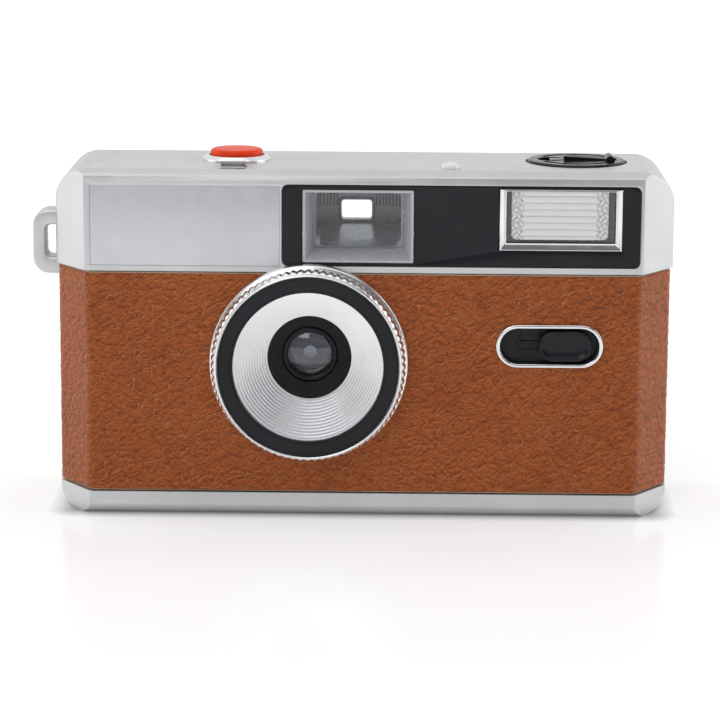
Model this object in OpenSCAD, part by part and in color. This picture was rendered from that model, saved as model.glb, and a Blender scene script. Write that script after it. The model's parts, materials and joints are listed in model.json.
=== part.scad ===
// Compact 35 mm half frame camera with built-in flash.
// Millimetres. Origin at the centre of the base, front towards -Y, +Z up.

/* [Body] */
// Width of the casing without the strap lug
body_w = 114; // [112:1:118]
// Depth of the casing without the lens
body_d = 32; // [32:1:34]
// Height of the casing
body_h = 64.5; // [64:0.5:66]
// Width of each bevelled front corner, seen from the front
bevel_w = 6.4; // [5:0.2:7]
// Depth of each bevelled front corner
bevel_d = 9; // [8:0.5:10]
// Wall of the moulded covers
wall = 1.6; // [1.4:0.1:1.8]
// Thickness of the leatherette
leather_t = 0.8; // [0.5:0.1:0.8]
// How far the top cover stands out past the leatherette at each end
cover_lip = 0.4; // [0.2:0.1:0.5]
// Height of the bottom cover
base_h = 4.4; // [4.2:0.1:4.6]
// Height where the top cover starts
cover_z = 46; // [45.8:0.1:46.2]

/* [Lens] */
// Sideways place of the lens axis
lens_x = -10; // [-10.4:0.1:-9.6]
// Height of the lens axis
lens_z = 29.2; // [29:0.1:29.4]
// Outer radius of the lens barrel at its foot
barrel_r = 18.4; // [18:0.1:18.6]
// How far the lens barrel stands out of the front
barrel_out = 5.2; // [4.8:0.1:5.4]

/* [Film] */
// Sideways place of the cartridge and rewind axis
rewind_x = 39.5; // [39.3:0.1:39.7]
// Depth place of the cartridge and rewind axis
rewind_y = 1.6; // [1.5:0.1:1.7]
// Sideways place of the take-up spool axis
spool_x = -41.5; // [-41.6:0.1:-41.4]
// Depth place of the take-up spool axis
spool_y = 4.2; // [4.1:0.1:4.2]
// Width of the half frame gate
gate_w = 18; // [17:0.5:18]
// Height of the half frame gate
gate_h = 24; // [23:0.5:24]

/* [Controls] */
// Sideways place of the shutter button
button_x = -24.1; // [-24.2:0.1:-24]
// Depth place of the shutter button
button_y = 1; // [0.9:0.1:1]
// Radius of the advance thumb wheel
wheel_r = 12.8; // [12.6:0.1:12.8]
// Travel of the flash switch knob
switch_travel = 6.6; // [6:0.1:6.6]

/* [Hidden] */
$fn = 48;
over = 0.1;
front_y = -body_d/2;
rear_y = body_d/2;
side_x = body_w/2;
inner_wall = leather_t + 1.4;
film_y = 11;
crank_px = rewind_x + 6.2;
crank_pz = 65.1;
door_gap = 0.3;
door_top_low = 48.2;
door_top_high = 51.2;
door_step_x = 25;
shell_back_y = 8.4;
lip_d = 2.8;
hinge_x = -side_x + 1.4;
hinge_y = 10;
hinge_r = 1.4;
barrel_front = front_y - barrel_out;
sprocket_x = -27;
sprocket_y = 5;
dial_x = -28.5;
dial_y = -8;
dial_r = 6.2;
dial_teeth = 40;
stem_off = [2.9, -2.5];
stem_x = button_x + stem_off.x;
stem_y = button_y + stem_off.y;
stem_end = 51.2;
lamp_x = 15.8;
lamp_y = -9.2;
finder_x = -1.05;
finder_z = 54.5;
eyepiece_x = -1.7;
eyepiece_z = 53.9;
flash_tube_y = -12;
flash_z = 56;
switch_x = 34.25;
switch_z = 32.6;
knob_x = 37.1;
funnel_steps = 13;
funnel_r0 = 13.75;
funnel_r1 = 7.8;
funnel_y0 = barrel_front + 0.8;
funnel_y1 = front_y + 4.6;
battery_x0 = -24.6;
battery_x1 = 21.4;
battery_y = -8.2;
battery_z = 7.5;
blade_x = -19;
blade_z = 36;
pawl_x = -47.5;
pawl_y = -3.6;
screw_xs = [-49, 49];
screw_ys = [-3, 6];
lever_x = -15.5;
lever_z = 44.5;

// ---------- outlines ----------

// Inward normal of the edge from a to b on a counter-clockwise outline
function inward(a, b) = let(d = (b - a) / norm(b - a)) [-d.y, d.x];

// Outline moved inwards by the same distance on every edge
function inset_outline(p, d) = [
    for (i = [0:len(p) - 1])
        let(
            n1 = inward(p[(i + len(p) - 1) % len(p)], p[i]),
            n2 = inward(p[i], p[(i + 1) % len(p)])
        )
        p[i] + d * (n1 + n2) / (1 + n1 * n2)
];

// Points of the arc that rounds the corner b between a and c
function corner_arc(a, b, c, r, n) =
    r < 0.05 ? [b] :
    let(
        u = (a - b) / norm(a - b),
        v = (c - b) / norm(c - b),
        half = acos(u * v) / 2,
        centre = b + (u + v) / norm(u + v) * (r / sin(half)),
        p0 = b + u * (r / tan(half)) - centre,
        p1 = b + v * (r / tan(half)) - centre,
        a0 = atan2(p0.y, p0.x),
        turn = (atan2(p1.y, p1.x) - a0 + 540) % 360 - 180
    )
    [for (i = [0:n]) centre + r * [cos(a0 + turn * i / n), sin(a0 + turn * i / n)]];

function rounded(p, radii, n = 9) = [
    for (i = [0:len(p) - 1])
        each corner_arc(p[(i + len(p) - 1) % len(p)], p[i], p[(i + 1) % len(p)], radii[i], n)
];

function rectangle(x0, y0, x1, y1) = [[x0, y0], [x1, y0], [x1, y1], [x0, y1]];

// Plan of the casing, from above, inset by d and wider by w at each end
function plan(d, w = 0) = rounded(
    inset_outline([
        [-side_x - w + bevel_w, front_y], [side_x + w - bevel_w, front_y], [side_x + w, front_y + bevel_d],
        [side_x + w, rear_y], [-side_x - w, rear_y], [-side_x - w, front_y + bevel_d]
    ], d),
    [for (r = [2, 2, 3, 5, 5, 3]) max(r - d, 0.5)]
);

module slab(d, z0, z1, w = 0) {
    translate([0, 0, z0])
        linear_extrude(z1 - z0)
            polygon(plan(d, w));
}

// Casing inset by d and wider by w at each end: plan, front view and side view in one
module casing(d, w = 0) {
    intersection() {
        slab(d, 0, body_h, w);
        rotate([90, 0, 0])
            linear_extrude(2 * body_d, center = true)
                polygon(rounded(
                    rectangle(-side_x - w + d, d, side_x + w - d, body_h - d),
                    [for (r = [4, 4, 7, 7]) max(r - d, 0.5)]
                ));
        rotate([90, 0, 90])
            linear_extrude(2 * body_w, center = true)
                polygon(rounded(
                    inset_outline([
                        [front_y, 0], [rear_y, 0], [rear_y, body_h], [front_y + lip_d, body_h],
                        [front_y + 0.5, body_h - 0.75], [front_y, body_h - 2.1]
                    ], d),
                    [for (r = [3, 3, 3, 0.2, 0.9, 0.6]) max(r - d, 0.2)]
                ));
    }
}

// Box from corner to corner
module block(a, b) {
    translate(a)
        cube(b - a);
}

module tube(r_out, r_in, z0, z1) {
    translate([0, 0, z0])
        difference() {
            cylinder(r = r_out, h = z1 - z0);
            translate([0, 0, -over])
                cylinder(r = r_in, h = z1 - z0 + 2 * over);
        }
}

module rod(r, z0, z1) {
    translate([0, 0, z0])
        cylinder(r = r, h = z1 - z0);
}

module on_lens_axis() {
    translate([lens_x, 0, lens_z])
        rotate([-90, 0, 0])
            children();
}

// Plate seen from the front, between depths y0 and y1
module front_plate(points, y0, y1) {
    translate([0, y1, 0])
        rotate([90, 0, 0])
            linear_extrude(y1 - y0)
                polygon(points);
}

// Oval with straight sides, w long and h high, between depths y0 and y1
module front_oval(x, z, w, h, y0, y1) {
    front_plate(
        rounded(rectangle(x - w/2, z - h/2, x + w/2, z + h/2), [for (i = [0:3]) h/2 - 0.01], 8),
        y0, y1
    );
}

// Volume that the back door sweeps over in the casing, grown by gap
module door_space(gap) {
    front_plate([
        [-side_x - 1, base_h + door_gap - gap], [side_x + 1, base_h + door_gap - gap],
        [side_x + 1, door_top_high + gap], [door_step_x - gap, door_top_high + gap],
        [door_step_x - gap, door_top_low + gap], [-side_x - 1, door_top_low + gap]
    ], shell_back_y, rear_y + 1);
}

// ---------- covers ----------

module top_cover() {
    color("silver")
    difference() {
        union() {
            difference() {
                casing(0, cover_lip);
                casing(wall);
                block([-body_w, -body_d, -1], [body_w, body_d, cover_z]);
                // the edge by the hinge is flush, so that the open door clears it
                block([-side_x - 1, hinge_y - 6, cover_z - 1], [-side_x, rear_y + 1, door_top_low + 0.6]);
                // seat of the strap lug
                front_plate(rectangle(-side_x - 1, 43.2, -side_x, 55.7), -4.7, 0.7);
            }
            intersection() {
                casing(0.5);
                union() {
                    translate([rewind_x, rewind_y, 0]) rod(10.9, 59.7, 63.5);
                    translate([hinge_x, hinge_y, 0]) rod(1.9, 48.6, 50.6);
                    // post of the counter dial
                    translate([dial_x, dial_y, 0]) rod(1.0, 58.6, 63.5);
                }
            }
        }
        door_space(door_gap);
        translate([hinge_x, hinge_y, 0]) rod(0.72, 46, 49.6);
        // seats of the name plate and of the window panel
        block([-50.1, front_y - 1, 47.0], [-15.35, front_y + 0.8, 61.8]);
        front_plate(
            rounded(rectangle(-15.05, 47.1, 50.6, 62.2), [1.2, 1.2, 1.2, 1.2]),
            front_y - 1, front_y + 0.8
        );
        // finder and flash openings
        block([-11.3, front_y - 1, 47.7], [9.2, front_y + 3, 61.3]);
        block([24.7, front_y - 1, 50.2], [47.2, front_y + 3, 61.7]);
        // eyepiece opening
        block([eyepiece_x - 5.5, rear_y - 3, eyepiece_z - 4.1], [eyepiece_x + 5.5, rear_y + 1, eyepiece_z + 4.1]);
        // advance wheel slot at the back
        block([spool_x - 8.6, rear_y - 3, 50.7], [spool_x + 8.6, rear_y + 1, 57.3]);
        // holes in the top
        translate([button_x, button_y, 0]) rod(6.0, 60, 66);
        translate([rewind_x, rewind_y, 0]) rod(9.5, 61.4, 66);
        translate([rewind_x, rewind_y, 0]) rod(2.25, 58, 66);
        translate([lamp_x, lamp_y, 0]) rod(1.9, 60, 66);
        block([button_x - 2.3, -12.5, 60], [button_x + 2.3, -6.9, 66]);
    }
}

module bottom_cover() {
    color("silver")
    difference() {
        union() {
            difference() {
                casing(0);
                casing(wall);
                block([-body_w, -body_d, base_h], [body_w, body_d, body_h + 1]);
            }
            intersection() {
                casing(0.5);
                union() {
                    translate([hinge_x, hinge_y, 0]) rod(1.9, 1, base_h);
                    for (x = screw_xs, y = screw_ys) translate([x, y, 0]) rod(2.6, 1, base_h);
                    translate([sprocket_x, sprocket_y, 0]) rod(3.4, 1, 2.4);
                    // ears that carry the battery door
                    for (x = [battery_x0 - 1.5, battery_x1 + 1.5])
                        block([x - 0.9, -3.4, 1], [x + 0.9, -0.6, 3.6]);
                }
            }
        }
        translate([hinge_x, hinge_y, 0]) rod(0.72, 2.9, 6);
        for (x = screw_xs, y = screw_ys) {
            translate([x, y, 0]) rod(1.0, -1, 6);
            translate([x, y, 0]) rod(1.9, -1, 1.6);
        }
        translate([sprocket_x, sprocket_y, 0]) rod(2.3, -1, 6);
        block([battery_x0 - 0.4, -13.6, -1], [battery_x1 + 0.4, 0.4, 3.9]);
        translate([battery_x0 - 3, -2, 1.8])
            rotate([0, 90, 0])
                cylinder(r = 0.65, h = battery_x1 - battery_x0 + 6);
    }
}

module front_shell() {
    color("dimgray")
    difference() {
        slab(leather_t, base_h, cover_z);
        slab(inner_wall, base_h - 1, cover_z + 1);
        block([-body_w, shell_back_y, 0], [body_w, body_d, body_h]);
        on_lens_axis() rod(16.3, -body_d, 0);
        front_oval(switch_x, switch_z, 18.6, 7.0, -body_d, -body_d/2 + 4);
        // slot of the door latch
        block([side_x - 4, 1.4, 20.6], [side_x + 1, 7.1, 34]);
    }
}

module leather_front() {
    color("sienna")
    difference() {
        slab(0, base_h, cover_z);
        slab(leather_t, base_h - 1, cover_z + 1);
        block([-body_w, shell_back_y, 0], [body_w, body_d, body_h]);
        on_lens_axis() rod(16.3, -body_d, 0);
        front_oval(switch_x, switch_z, 18.6, 7.0, -body_d, -body_d/2 + 4);
        block([side_x - 4, 1.4, 20.6], [side_x + 1, 7.1, 34]);
    }
}

module name_plate() {
    color("lightgray")
        front_plate(rectangle(-50, 47.1, -15.45, 61.7), front_y + 0.1, front_y + 0.8);
}

module window_panel() {
    color("black")
    difference() {
        front_plate(
            rounded(rectangle(-14.95, 47.2, 50.5, 62.1), [1.1, 1.1, 1.1, 1.1]),
            front_y + 0.1, front_y + 0.8
        );
        block([-11.3, -body_d, 47.7], [9.2, 0, 61.3]);
        block([24.7, -body_d, 50.2], [47.2, 0, 61.7]);
    }
}

// ---------- viewfinder ----------

// Thin rectangle centred at (x, z), facing the front at depth y
module finder_section(x, z, w, h, y) {
    block([x - w/2, y, z - h/2], [x + w/2, y + 0.01, z + h/2]);
}

module finder_hood() {
    color("gray")
    difference() {
        union() {
            hull() {
                finder_section(finder_x, finder_z, 20.3, 13.4, front_y + 0.1);
                finder_section(finder_x, 55.2, 18.6, 12.6, -11.5);
            }
            block([finder_x - 9.3, -11.5, 48.9], [finder_x + 9.3, 12.2, 61.5]);
            block([eyepiece_x - 5.4, 12.1, eyepiece_z - 4.1], [eyepiece_x + 5.4, 14.2, eyepiece_z + 4.1]);
        }
        // splayed mouth
        hull() {
            finder_section(finder_x, finder_z, 19.9, 13.0, front_y);
            finder_section(finder_x - 0.05, 55.2, 16.2, 10.7, -12);
        }
        // seat of the front lens
        block([finder_x - 8.25, -12.01, 49.75], [finder_x + 8.15, -10.6, 60.65]);
        hull() {
            finder_section(finder_x - 0.05, 55.2, 16, 10.4, -10.62);
            finder_section(finder_x - 0.05, 55.95, 15.8, 8.9, 10.9);
        }
        // eye mask and seat of the eyepiece lens
        front_plate(
            rounded(rectangle(eyepiece_x - 2.9, 51.8, eyepiece_x + 2.9, 55.6), [0.6, 0.6, 0.6, 0.6]),
            10.8, 14
        );
        block([eyepiece_x - 4.1, 12.9, eyepiece_z - 3.1], [eyepiece_x + 4.1, 14.4, eyepiece_z + 3.1]);
    }
}

module finder_front_lens() {
    color("lightcyan", 0.5)
        block([finder_x - 8.2, -11.8, 49.8], [finder_x + 8.1, -10.7, 60.6]);
}

module eyepiece_lens() {
    color("lightcyan", 0.5)
        block([eyepiece_x - 4, 12.95, eyepiece_z - 3], [eyepiece_x + 4, 14.15, eyepiece_z + 3]);
}

module eyepiece_frame() {
    color("black")
    difference() {
        union() {
            front_plate(
                rounded(rectangle(eyepiece_x - 5.4, eyepiece_z - 4, eyepiece_x + 5.4, eyepiece_z + 4),
                    [1, 1, 1, 1]),
                14.25, 16.2
            );
            front_plate(
                rounded(rectangle(eyepiece_x - 6.4, eyepiece_z - 5, eyepiece_x + 6.4, eyepiece_z + 5),
                    [1.8, 1.8, 1.8, 1.8]),
                16.02, 17
            );
        }
        block([eyepiece_x - 3.9, 13, eyepiece_z - 2.9], [eyepiece_x + 3.9, 18, eyepiece_z + 2.9]);
    }
}

// ---------- flash ----------

module flash_frame() {
    color("silver")
    difference() {
        front_plate(rectangle(24.8, 50.3, 47.1, 61.6), front_y - 0.1, front_y + 1.6);
        front_plate(rectangle(26.0, 51.7, 45.9, 61.2), front_y - 1, front_y + 2);
    }
}

module flash_window() {
    color("white", 0.5)
        front_plate(rectangle(26.05, 51.75, 45.85, 61.15), front_y + 0.2, front_y + 1.5);
}

module flash_reflector() {
    color("whitesmoke")
    difference() {
        block([25.2, front_y + 1.7, 51.9], [46.7, -9.6, 61.5]);
        translate([26, -14.3, flash_z + 0.7])
            rotate([0, 90, 0])
                cylinder(r = 3.9, h = 19.9);
        translate([20, flash_tube_y, flash_z + 0.7])
            rotate([0, 90, 0])
                cylinder(r = 1.35, h = 30);
    }
}

module flash_tube() {
    color("white")
        translate([23.6, flash_tube_y, flash_z + 0.7])
            rotate([0, 90, 0])
                cylinder(r = 1.25, h = 24.6);
}

module flash_board() {
    color("darkgreen")
    difference() {
        block([10.6, -7.8, 52.6], [47, -6.6, 59.4]);
        for (x = [12.5, 45]) translate([x, -5, 57.5]) rotate([90, 0, 0]) cylinder(r = 0.9, h = 5);
    }
}

module flash_capacitor() {
    color("navy")
        translate([17, -4.5, 56.4])
            rotate([-90, 0, 0])
                cylinder(r = 4.6, h = 17);
}

// ---------- battery ----------

module battery_trough() {
    color("black")
    difference() {
        block([battery_x0 - 1.2, -13.7, 5.2], [battery_x1 + 1.2, -2.7, 13.6]);
        translate([battery_x0, battery_y, battery_z])
            rotate([0, 90, 0])
                cylinder(r = 5.3, h = battery_x1 - battery_x0);
        block([battery_x0, battery_y - 5.3, 5], [battery_x1, battery_y + 5.3, battery_z]);
        on_lens_axis() rod(16.5, -body_d, 0);
        // the sprocket chamber stands just behind this corner
        translate([sprocket_x, sprocket_y, 0]) rod(8.6, 5, 14);
    }
}

module battery_contacts() {
    color("goldenrod") {
        block([battery_x0 + 0.05, battery_y - 2, 5.6], [battery_x0 + 0.45, battery_y + 2, 11]);
        block([battery_x1 - 0.45, battery_y - 3, 5.6], [battery_x1 - 0.05, battery_y + 3, 10.5]);
        translate([battery_x0 + 0.45, battery_y, battery_z])
            rotate([0, 90, 0])
                cylinder(r = 1.8, h = 0.6);
    }
}

module battery_door() {
    color("silver")
    difference() {
        union() {
            intersection() {
                casing(0);
                block([battery_x0 - 0.2, -13.4, -1], [battery_x1 + 0.2, -3.2, 1.5]);
            }
            block([battery_x0 + 4, -4, 0.2], [battery_x1 - 4, -2, 1.5]);
            translate([battery_x0 - 0.2, -2, 1.8])
                rotate([0, 90, 0])
                    cylinder(r = 1.2, h = battery_x1 - battery_x0 + 0.4);
            translate([battery_x0 - 2.2, -2, 1.8])
                rotate([0, 90, 0])
                    cylinder(r = 0.58, h = battery_x1 - battery_x0 + 4.4);
        }
        // finger grooves
        for (i = [0:3])
            translate([-8 + 4 * i, -12, -0.3])
                rotate([-90, 0, 0])
                    cylinder(r = 0.6, h = 5);
    }
}

// ---------- lens ----------

module lens_barrel() {
    color("silver")
    on_lens_axis()
        rotate_extrude($fn = 96)
            polygon([
                [15.2, front_y + 3.2], [15.2, barrel_front + 0.8], [16.75, barrel_front + 0.8],
                [16.75, barrel_front], [17.2, barrel_front], [17.5, barrel_front + 0.3],
                [18.1, front_y - 1.2], [barrel_r, front_y - 0.9], [barrel_r, front_y],
                [16.2, front_y], [16.2, front_y + 3.2]
            ]);
}

module lens_ring_plate() {
    color("black")
        on_lens_axis() tube(16.7, 13.75, barrel_front + 0.2, barrel_front + 0.75);
}

// Steps of the funnel from the ring plate back to the mount
function funnel_step(i) = let(
    r = funnel_r0 + (funnel_r1 - funnel_r0) * i / funnel_steps,
    y = funnel_y0 + (funnel_y1 - funnel_y0) * i / funnel_steps,
    dy = (funnel_y1 - funnel_y0) / funnel_steps
) [[r, y], [r, y + dy]];

module lens_funnel() {
    color("whitesmoke")
    on_lens_axis()
        rotate_extrude($fn = 96)
            polygon(concat(
                [for (i = [0:funnel_steps - 1]) each funnel_step(i)],
                [[funnel_r1, funnel_y1], [funnel_r1 + 1.4, funnel_y1], [15.1, funnel_y0 + 2.2],
                 [15.1, funnel_y0]]
            ));
}

module lens_mount() {
    color("black")
    on_lens_axis()
        rotate_extrude($fn = 96)
            polygon(concat(
                [for (i = [0:4]) each [[7.8 - 0.5 * i, funnel_y1 + 0.1 + 0.55 * i],
                                       [7.8 - 0.5 * i, funnel_y1 + 0.65 + 0.55 * i]]],
                [[5.3, -8.65], [5.3, -7.8], [4.5, -7.8], [4.5, -3.9], [3.6, -3.9], [3.6, -3.15],
                 [9.6, -3.15], [9.6, funnel_y1 + 1.2], [9.1, funnel_y1 + 0.1]]
            ));
}

module lens_retaining_ring() {
    color("black")
        on_lens_axis() tube(5.2, 4.1, -8.5, -7.85);
}

// Round lens between depths y0 and y1, with domes of the given height
module lens(r, y0, y1, front_dome, rear_dome) {
    rotate_extrude()
        polygon(concat(
            [for (i = [0:8]) let(t = i / 8) [r * t, y0 - front_dome * (1 - t * t)]],
            [for (i = [0:8]) let(t = 1 - i / 8) [r * t, y1 + rear_dome * (1 - t * t)]]
        ));
}

module front_lens() {
    color("lightblue", 0.6)
        on_lens_axis()
            union() {
                translate([0, 0, 0]) rod(4.4, -7.75, -6.25);
                lens(4.0, -7.75, -7.0, 0.8, 0);
            }
}

module rear_lens() {
    color("lightblue", 0.6)
        on_lens_axis()
            rod(4.4, -5.6, -4.0);
}

module aperture_plate() {
    color("black")
        on_lens_axis() tube(4.4, 1.2, -6.15, -5.7);
}

module shutter_plate() {
    color("dimgray")
    difference() {
        union() {
            block([-20.8, -3.1, 17.5], [2, -2.3, 41]);
            translate([blade_x, -3.1, blade_z]) rotate([-90, 0, 0]) cylinder(r = 0.8, h = 1.5);
            // arm with the pivot of the release lever
            block([lever_x - 2, -3.1, 40], [lever_x + 2, -2.3, 46.5]);
            translate([lever_x, -3.1, lever_z]) rotate([90, 0, 0]) cylinder(r = 0.8, h = 1.5);
        }
        on_lens_axis() rod(3.6, -5, 0);
    }
}

module shutter_blade() {
    color("silver")
    difference() {
        hull() {
            translate([lens_x, -2.15, lens_z]) rotate([-90, 0, 0]) cylinder(r = 4.3, h = 0.3, $fn = 32);
            translate([blade_x, -2.15, blade_z]) rotate([-90, 0, 0]) cylinder(r = 1.7, h = 0.3, $fn = 32);
        }
        translate([blade_x, -3, blade_z]) rotate([-90, 0, 0]) cylinder(r = 0.86, h = 2);
    }
}

module release_lever() {
    color("dimgray")
    difference() {
        union() {
            translate([lever_x, -3.2, lever_z]) rotate([90, 0, 0]) cylinder(r = 1.8, h = 1.1);
            front_plate([
                [lever_x - 1.2, lever_z - 0.9], [lever_x + 1.4, lever_z + 0.6],
                [stem_x + 1.2, stem_end - 0.2], [stem_x - 1.2, stem_end - 0.2], [stem_x - 1.2, stem_end - 0.9]
            ], -4.3, -3.2);
            // foot under the stem
            block([stem_x - 1.2, -4.3, stem_end - 0.9], [stem_x + 1.2, -0.5, stem_end - 0.2]);
        }
        translate([lever_x, -2, lever_z]) rotate([90, 0, 0]) cylinder(r = 0.86, h = 4);
    }
}

// ---------- shutter button and counter ----------

module shutter_button() {
    color("orangered")
    union() {
        translate([button_x, button_y, 0])
            rotate_extrude()
                polygon(concat(
                    [[0, 64.9], [4.95, 64.9]],
                    [for (a = [0:15:90]) [4.05 + 0.9 * cos(a), 65.9 + 0.8 * sin(a)]],
                    [[0, 66.9]]
                ));
        translate([button_x, button_y, 0]) rod(0.9, 63.2, 65);
        translate([stem_x, stem_y, 0]) rod(1.0, stem_end, 65);
    }
}

// Closed body of a coil spring: rings stacked with a waist between them
module spring_body(r, wire, z0, z1, coils) {
    pitch = (z1 - z0) / coils;
    rotate_extrude()
        polygon(concat(
            [for (i = [0:coils - 1]) each [[r + wire, z0 + pitch * (i + 0.25)],
                                           [r + wire * 0.4, z0 + pitch * (i + 0.75)]]],
            [[r, z1]],
            [[r - wire, z1], [r - wire, z0], [r, z0]]
        ));
}

module button_spring() {
    color("silver")
        translate([button_x, button_y, 0]) spring_body(1.7, 0.3, 61.35, 64.85, 5);
}

module button_collar() {
    color("gainsboro")
    translate([button_x, button_y, 0])
        difference() {
            union() {
                rotate_extrude()
                    polygon([
                        [0, 62.7], [5.9, 62.7], [5.9, body_h], [6.4, body_h], [6.4, 64.8],
                        [5.6, 65.5], [5.2, 65.5], [5.2, 63.3], [0, 63.3]
                    ]);
                rod(3.0, 60.85, 63);
            }
            rod(2.35, 61.3, 64);
            translate(stem_off) rod(1.06, 60, 64);
        }
}

module counter_dial() {
    color("white")
    translate([dial_x, dial_y, 0])
        difference() {
            union() {
                rod(dial_r, 61.4, 62.4);
                rod(2.0, 58.5, 61.5);
                // ratchet teeth, one for each frame
                translate([0, 0, 59.7])
                    linear_extrude(0.9)
                        polygon([for (i = [0:2 * dial_teeth - 1])
                                 let(r = i % 2 == 0 ? dial_r : dial_r - 0.4, a = 180 * i / dial_teeth)
                                 [r * cos(a), r * sin(a)]]);
                rod(dial_r - 0.9, 60.2, 61.5);
            }
            rod(1.06, 58, 63);
        }
}

module counter_window() {
    color("lightcyan", 0.5)
    union() {
        block([button_x - 2.2, -12.4, 62.9], [button_x + 2.2, -7.0, 64.7]);
        // magnifying dome across the window
        intersection() {
            block([button_x - 2.2, -12.4, 64], [button_x + 2.2, -7.0, 66]);
            translate([button_x - 3, -9.7, 60.6])
                rotate([0, 90, 0])
                    cylinder(r = 4.9, h = 6);
        }
    }
}

module ready_lamp() {
    color("white", 0.6)
    translate([lamp_x, lamp_y, 0])
        rotate_extrude()
            polygon(concat(
                [[0, 59.6], [1.8, 59.6], [1.8, 61.9], [2.6, 61.9], [2.6, 62.8], [1.8, 62.8]],
                [for (a = [0:15:90]) [1.8 * cos(a), 64.6 + 1.0 * sin(a)]]
            ));
}

// ---------- flash switch ----------

module switch_bezel() {
    color("gainsboro")
    difference() {
        front_oval(switch_x, switch_z, 19.8, 8.1, front_y - 0.6, front_y);
        front_oval(switch_x, switch_z, 18.1, 6.5, front_y - 2, front_y + 2);
    }
}

module switch_track() {
    color("black")
    difference() {
        front_oval(switch_x, switch_z, 18.4, 6.8, front_y + 0.02, front_y + 2.2);
        front_oval(switch_x, switch_z, 17.6, 6.2, front_y - 1, front_y + 1.2);
        block([knob_x - 1.6 - switch_travel, -body_d, switch_z - 0.8],
              [knob_x + 1.8, 0, switch_z + 0.8]);
    }
}

module switch_knob() {
    color("black")
    difference() {
        union() {
            front_oval(knob_x, switch_z, 10.0, 5.7, front_y - 0.9, front_y + 1.1);
            block([knob_x - 1.4, front_y + 1, switch_z - 0.7], [knob_x + 1.4, front_y + 2.5, switch_z + 0.7]);
            block([knob_x - 1.4, front_y + 2.3, switch_z - 1.6], [knob_x + 1.4, front_y + 2.9, switch_z + 1.6]);
        }
        // dished thumb face
        translate([knob_x, front_y - 9.6, switch_z - 5])
            cylinder(r = 9.2, h = 10);
    }
}

// ---------- chassis and film transport ----------

module chassis() {
    color("black")
    union() {
        chassis_frame();
        // post of the anti-reverse pawl
        translate([pawl_x, pawl_y, 0]) rod(0.8, 47.5, 51.0);
    }
}

module chassis_frame() {
    difference() {
        intersection() {
            slab(inner_wall + 0.3, 5.6, 51.7);
            union() {
                translate([rewind_x, rewind_y, 0]) rod(14.0, 5.6, 51.7);
                block([rewind_x - 14, rewind_y, 5.6], [rewind_x + 13.2, 13.4, 51.7]);
                translate([spool_x, spool_y, 0]) rod(11.4, 5.6, door_top_low);
                translate([sprocket_x, sprocket_y, 0]) rod(8.2, 5.6, door_top_low);
                block([-52.5, 6, 5.6], [27, 13.4, door_top_low]);
                // tunnel from the shutter to the gate
                block([lens_x - 10.4, -1.5, lens_z - 13.4], [lens_x + 10.4, 9.5, lens_z + 13.4]);
                // floor under the mechanism
                block([-50, -1.5, 5.6], [30, 10, 6.8]);
            }
        }
        // chambers of the cartridge, the take-up spool and the sprocket
        translate([rewind_x, rewind_y, 0]) rod(12.9, 6.8, 51);
        block([rewind_x - 12.9, rewind_y, 6.8], [rewind_x + 12.9, 20, 51]);
        translate([rewind_x, rewind_y, 0]) rod(6.2, 5, 8);
        translate([rewind_x, rewind_y, 0]) rod(3.3, 50, 53);
        translate([spool_x, spool_y, 0]) rod(10.4, 6.8, 47.2);
        block([spool_x - 10.4, spool_y, 6.8], [spool_x + 10.4, 20, 47.2]);
        translate([sprocket_x, sprocket_y, 0]) rod(7.2, 6.8, 47.2);
        block([sprocket_x - 7.2, sprocket_y, 6.8], [sprocket_x + 7.2, 20, 47.2]);
        // film space behind the gate
        block([-51.9, film_y - 0.2, 6.8], [52.4, 20, 47.2]);
        // gate and tunnel
        block([lens_x - gate_w/2, 5, lens_z - gate_h/2], [lens_x + gate_w/2, 20, lens_z + gate_h/2]);
        hull() {
            block([lens_x - 4.6, -1.6, lens_z - 5.2], [lens_x + 4.6, -1.5, lens_z + 5.2]);
            block([lens_x - gate_w/2, 6, lens_z - gate_h/2], [lens_x + gate_w/2, 6.1, lens_z + gate_h/2]);
        }
        // hollow between the tunnel and the cartridge chamber
        block([lens_x + 11.6, -5, 8], [rewind_x - 15.2, 9.6, 46.4]);
        for (x = screw_xs, y = screw_ys) translate([x, y, 0]) rod(1.0, 5, 6.5);
        // bearings of the spool and the sprocket
        translate([spool_x, spool_y, 0]) rod(2.05, 46, 49);
        translate([spool_x, spool_y, 0]) rod(1.55, 5, 8);
        translate([sprocket_x, sprocket_y, 0]) rod(1.25, 46, 49);
        translate([sprocket_x, sprocket_y, 0]) rod(1.25, 5, 8);
    }
}

// Toothed rim that fits the film's perforations
module sprocket_rim(z) {
    translate([sprocket_x, sprocket_y, z]) {
        rod(5.95, -1.5, 1.5);
        for (i = [0:7])
            rotate([0, 0, 22.5 + 45 * i])
                block([5, -0.7, -0.9], [6.9, 0.7, 0.9]);
    }
}

module film_sprocket() {
    color("dimgray")
    union() {
        sprocket_rim(lens_z - 14.1);
        sprocket_rim(lens_z + 14.1);
        translate([sprocket_x, sprocket_y, 0]) {
            rod(4.2, 9, 46.8);
            rod(1.2, 5.7, 60.6);
            // cam with one tooth that steps the counter
            rod(3.0, 59.7, 60.6);
            rotate([0, 0, 20]) block([2, -0.6, 59.7], [6.7, 0.6, 60.6]);
        }
    }
}

module takeup_spool() {
    color("black")
    difference() {
        translate([spool_x, spool_y, 0]) {
            rod(6.4, 8.0, 46.6);
            rod(9.6, 8.4, 9.6);
            rod(9.6, 45.6, 46.8);
            rod(1.5, 5.7, 8.1);
        }
        // slot for the film's end
        block([spool_x - 0.6, spool_y - 7, 12], [spool_x + 0.6, spool_y + 7, 42]);
        translate([spool_x, spool_y, 0]) rod(1.22, 40, 50);
    }
}

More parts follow.
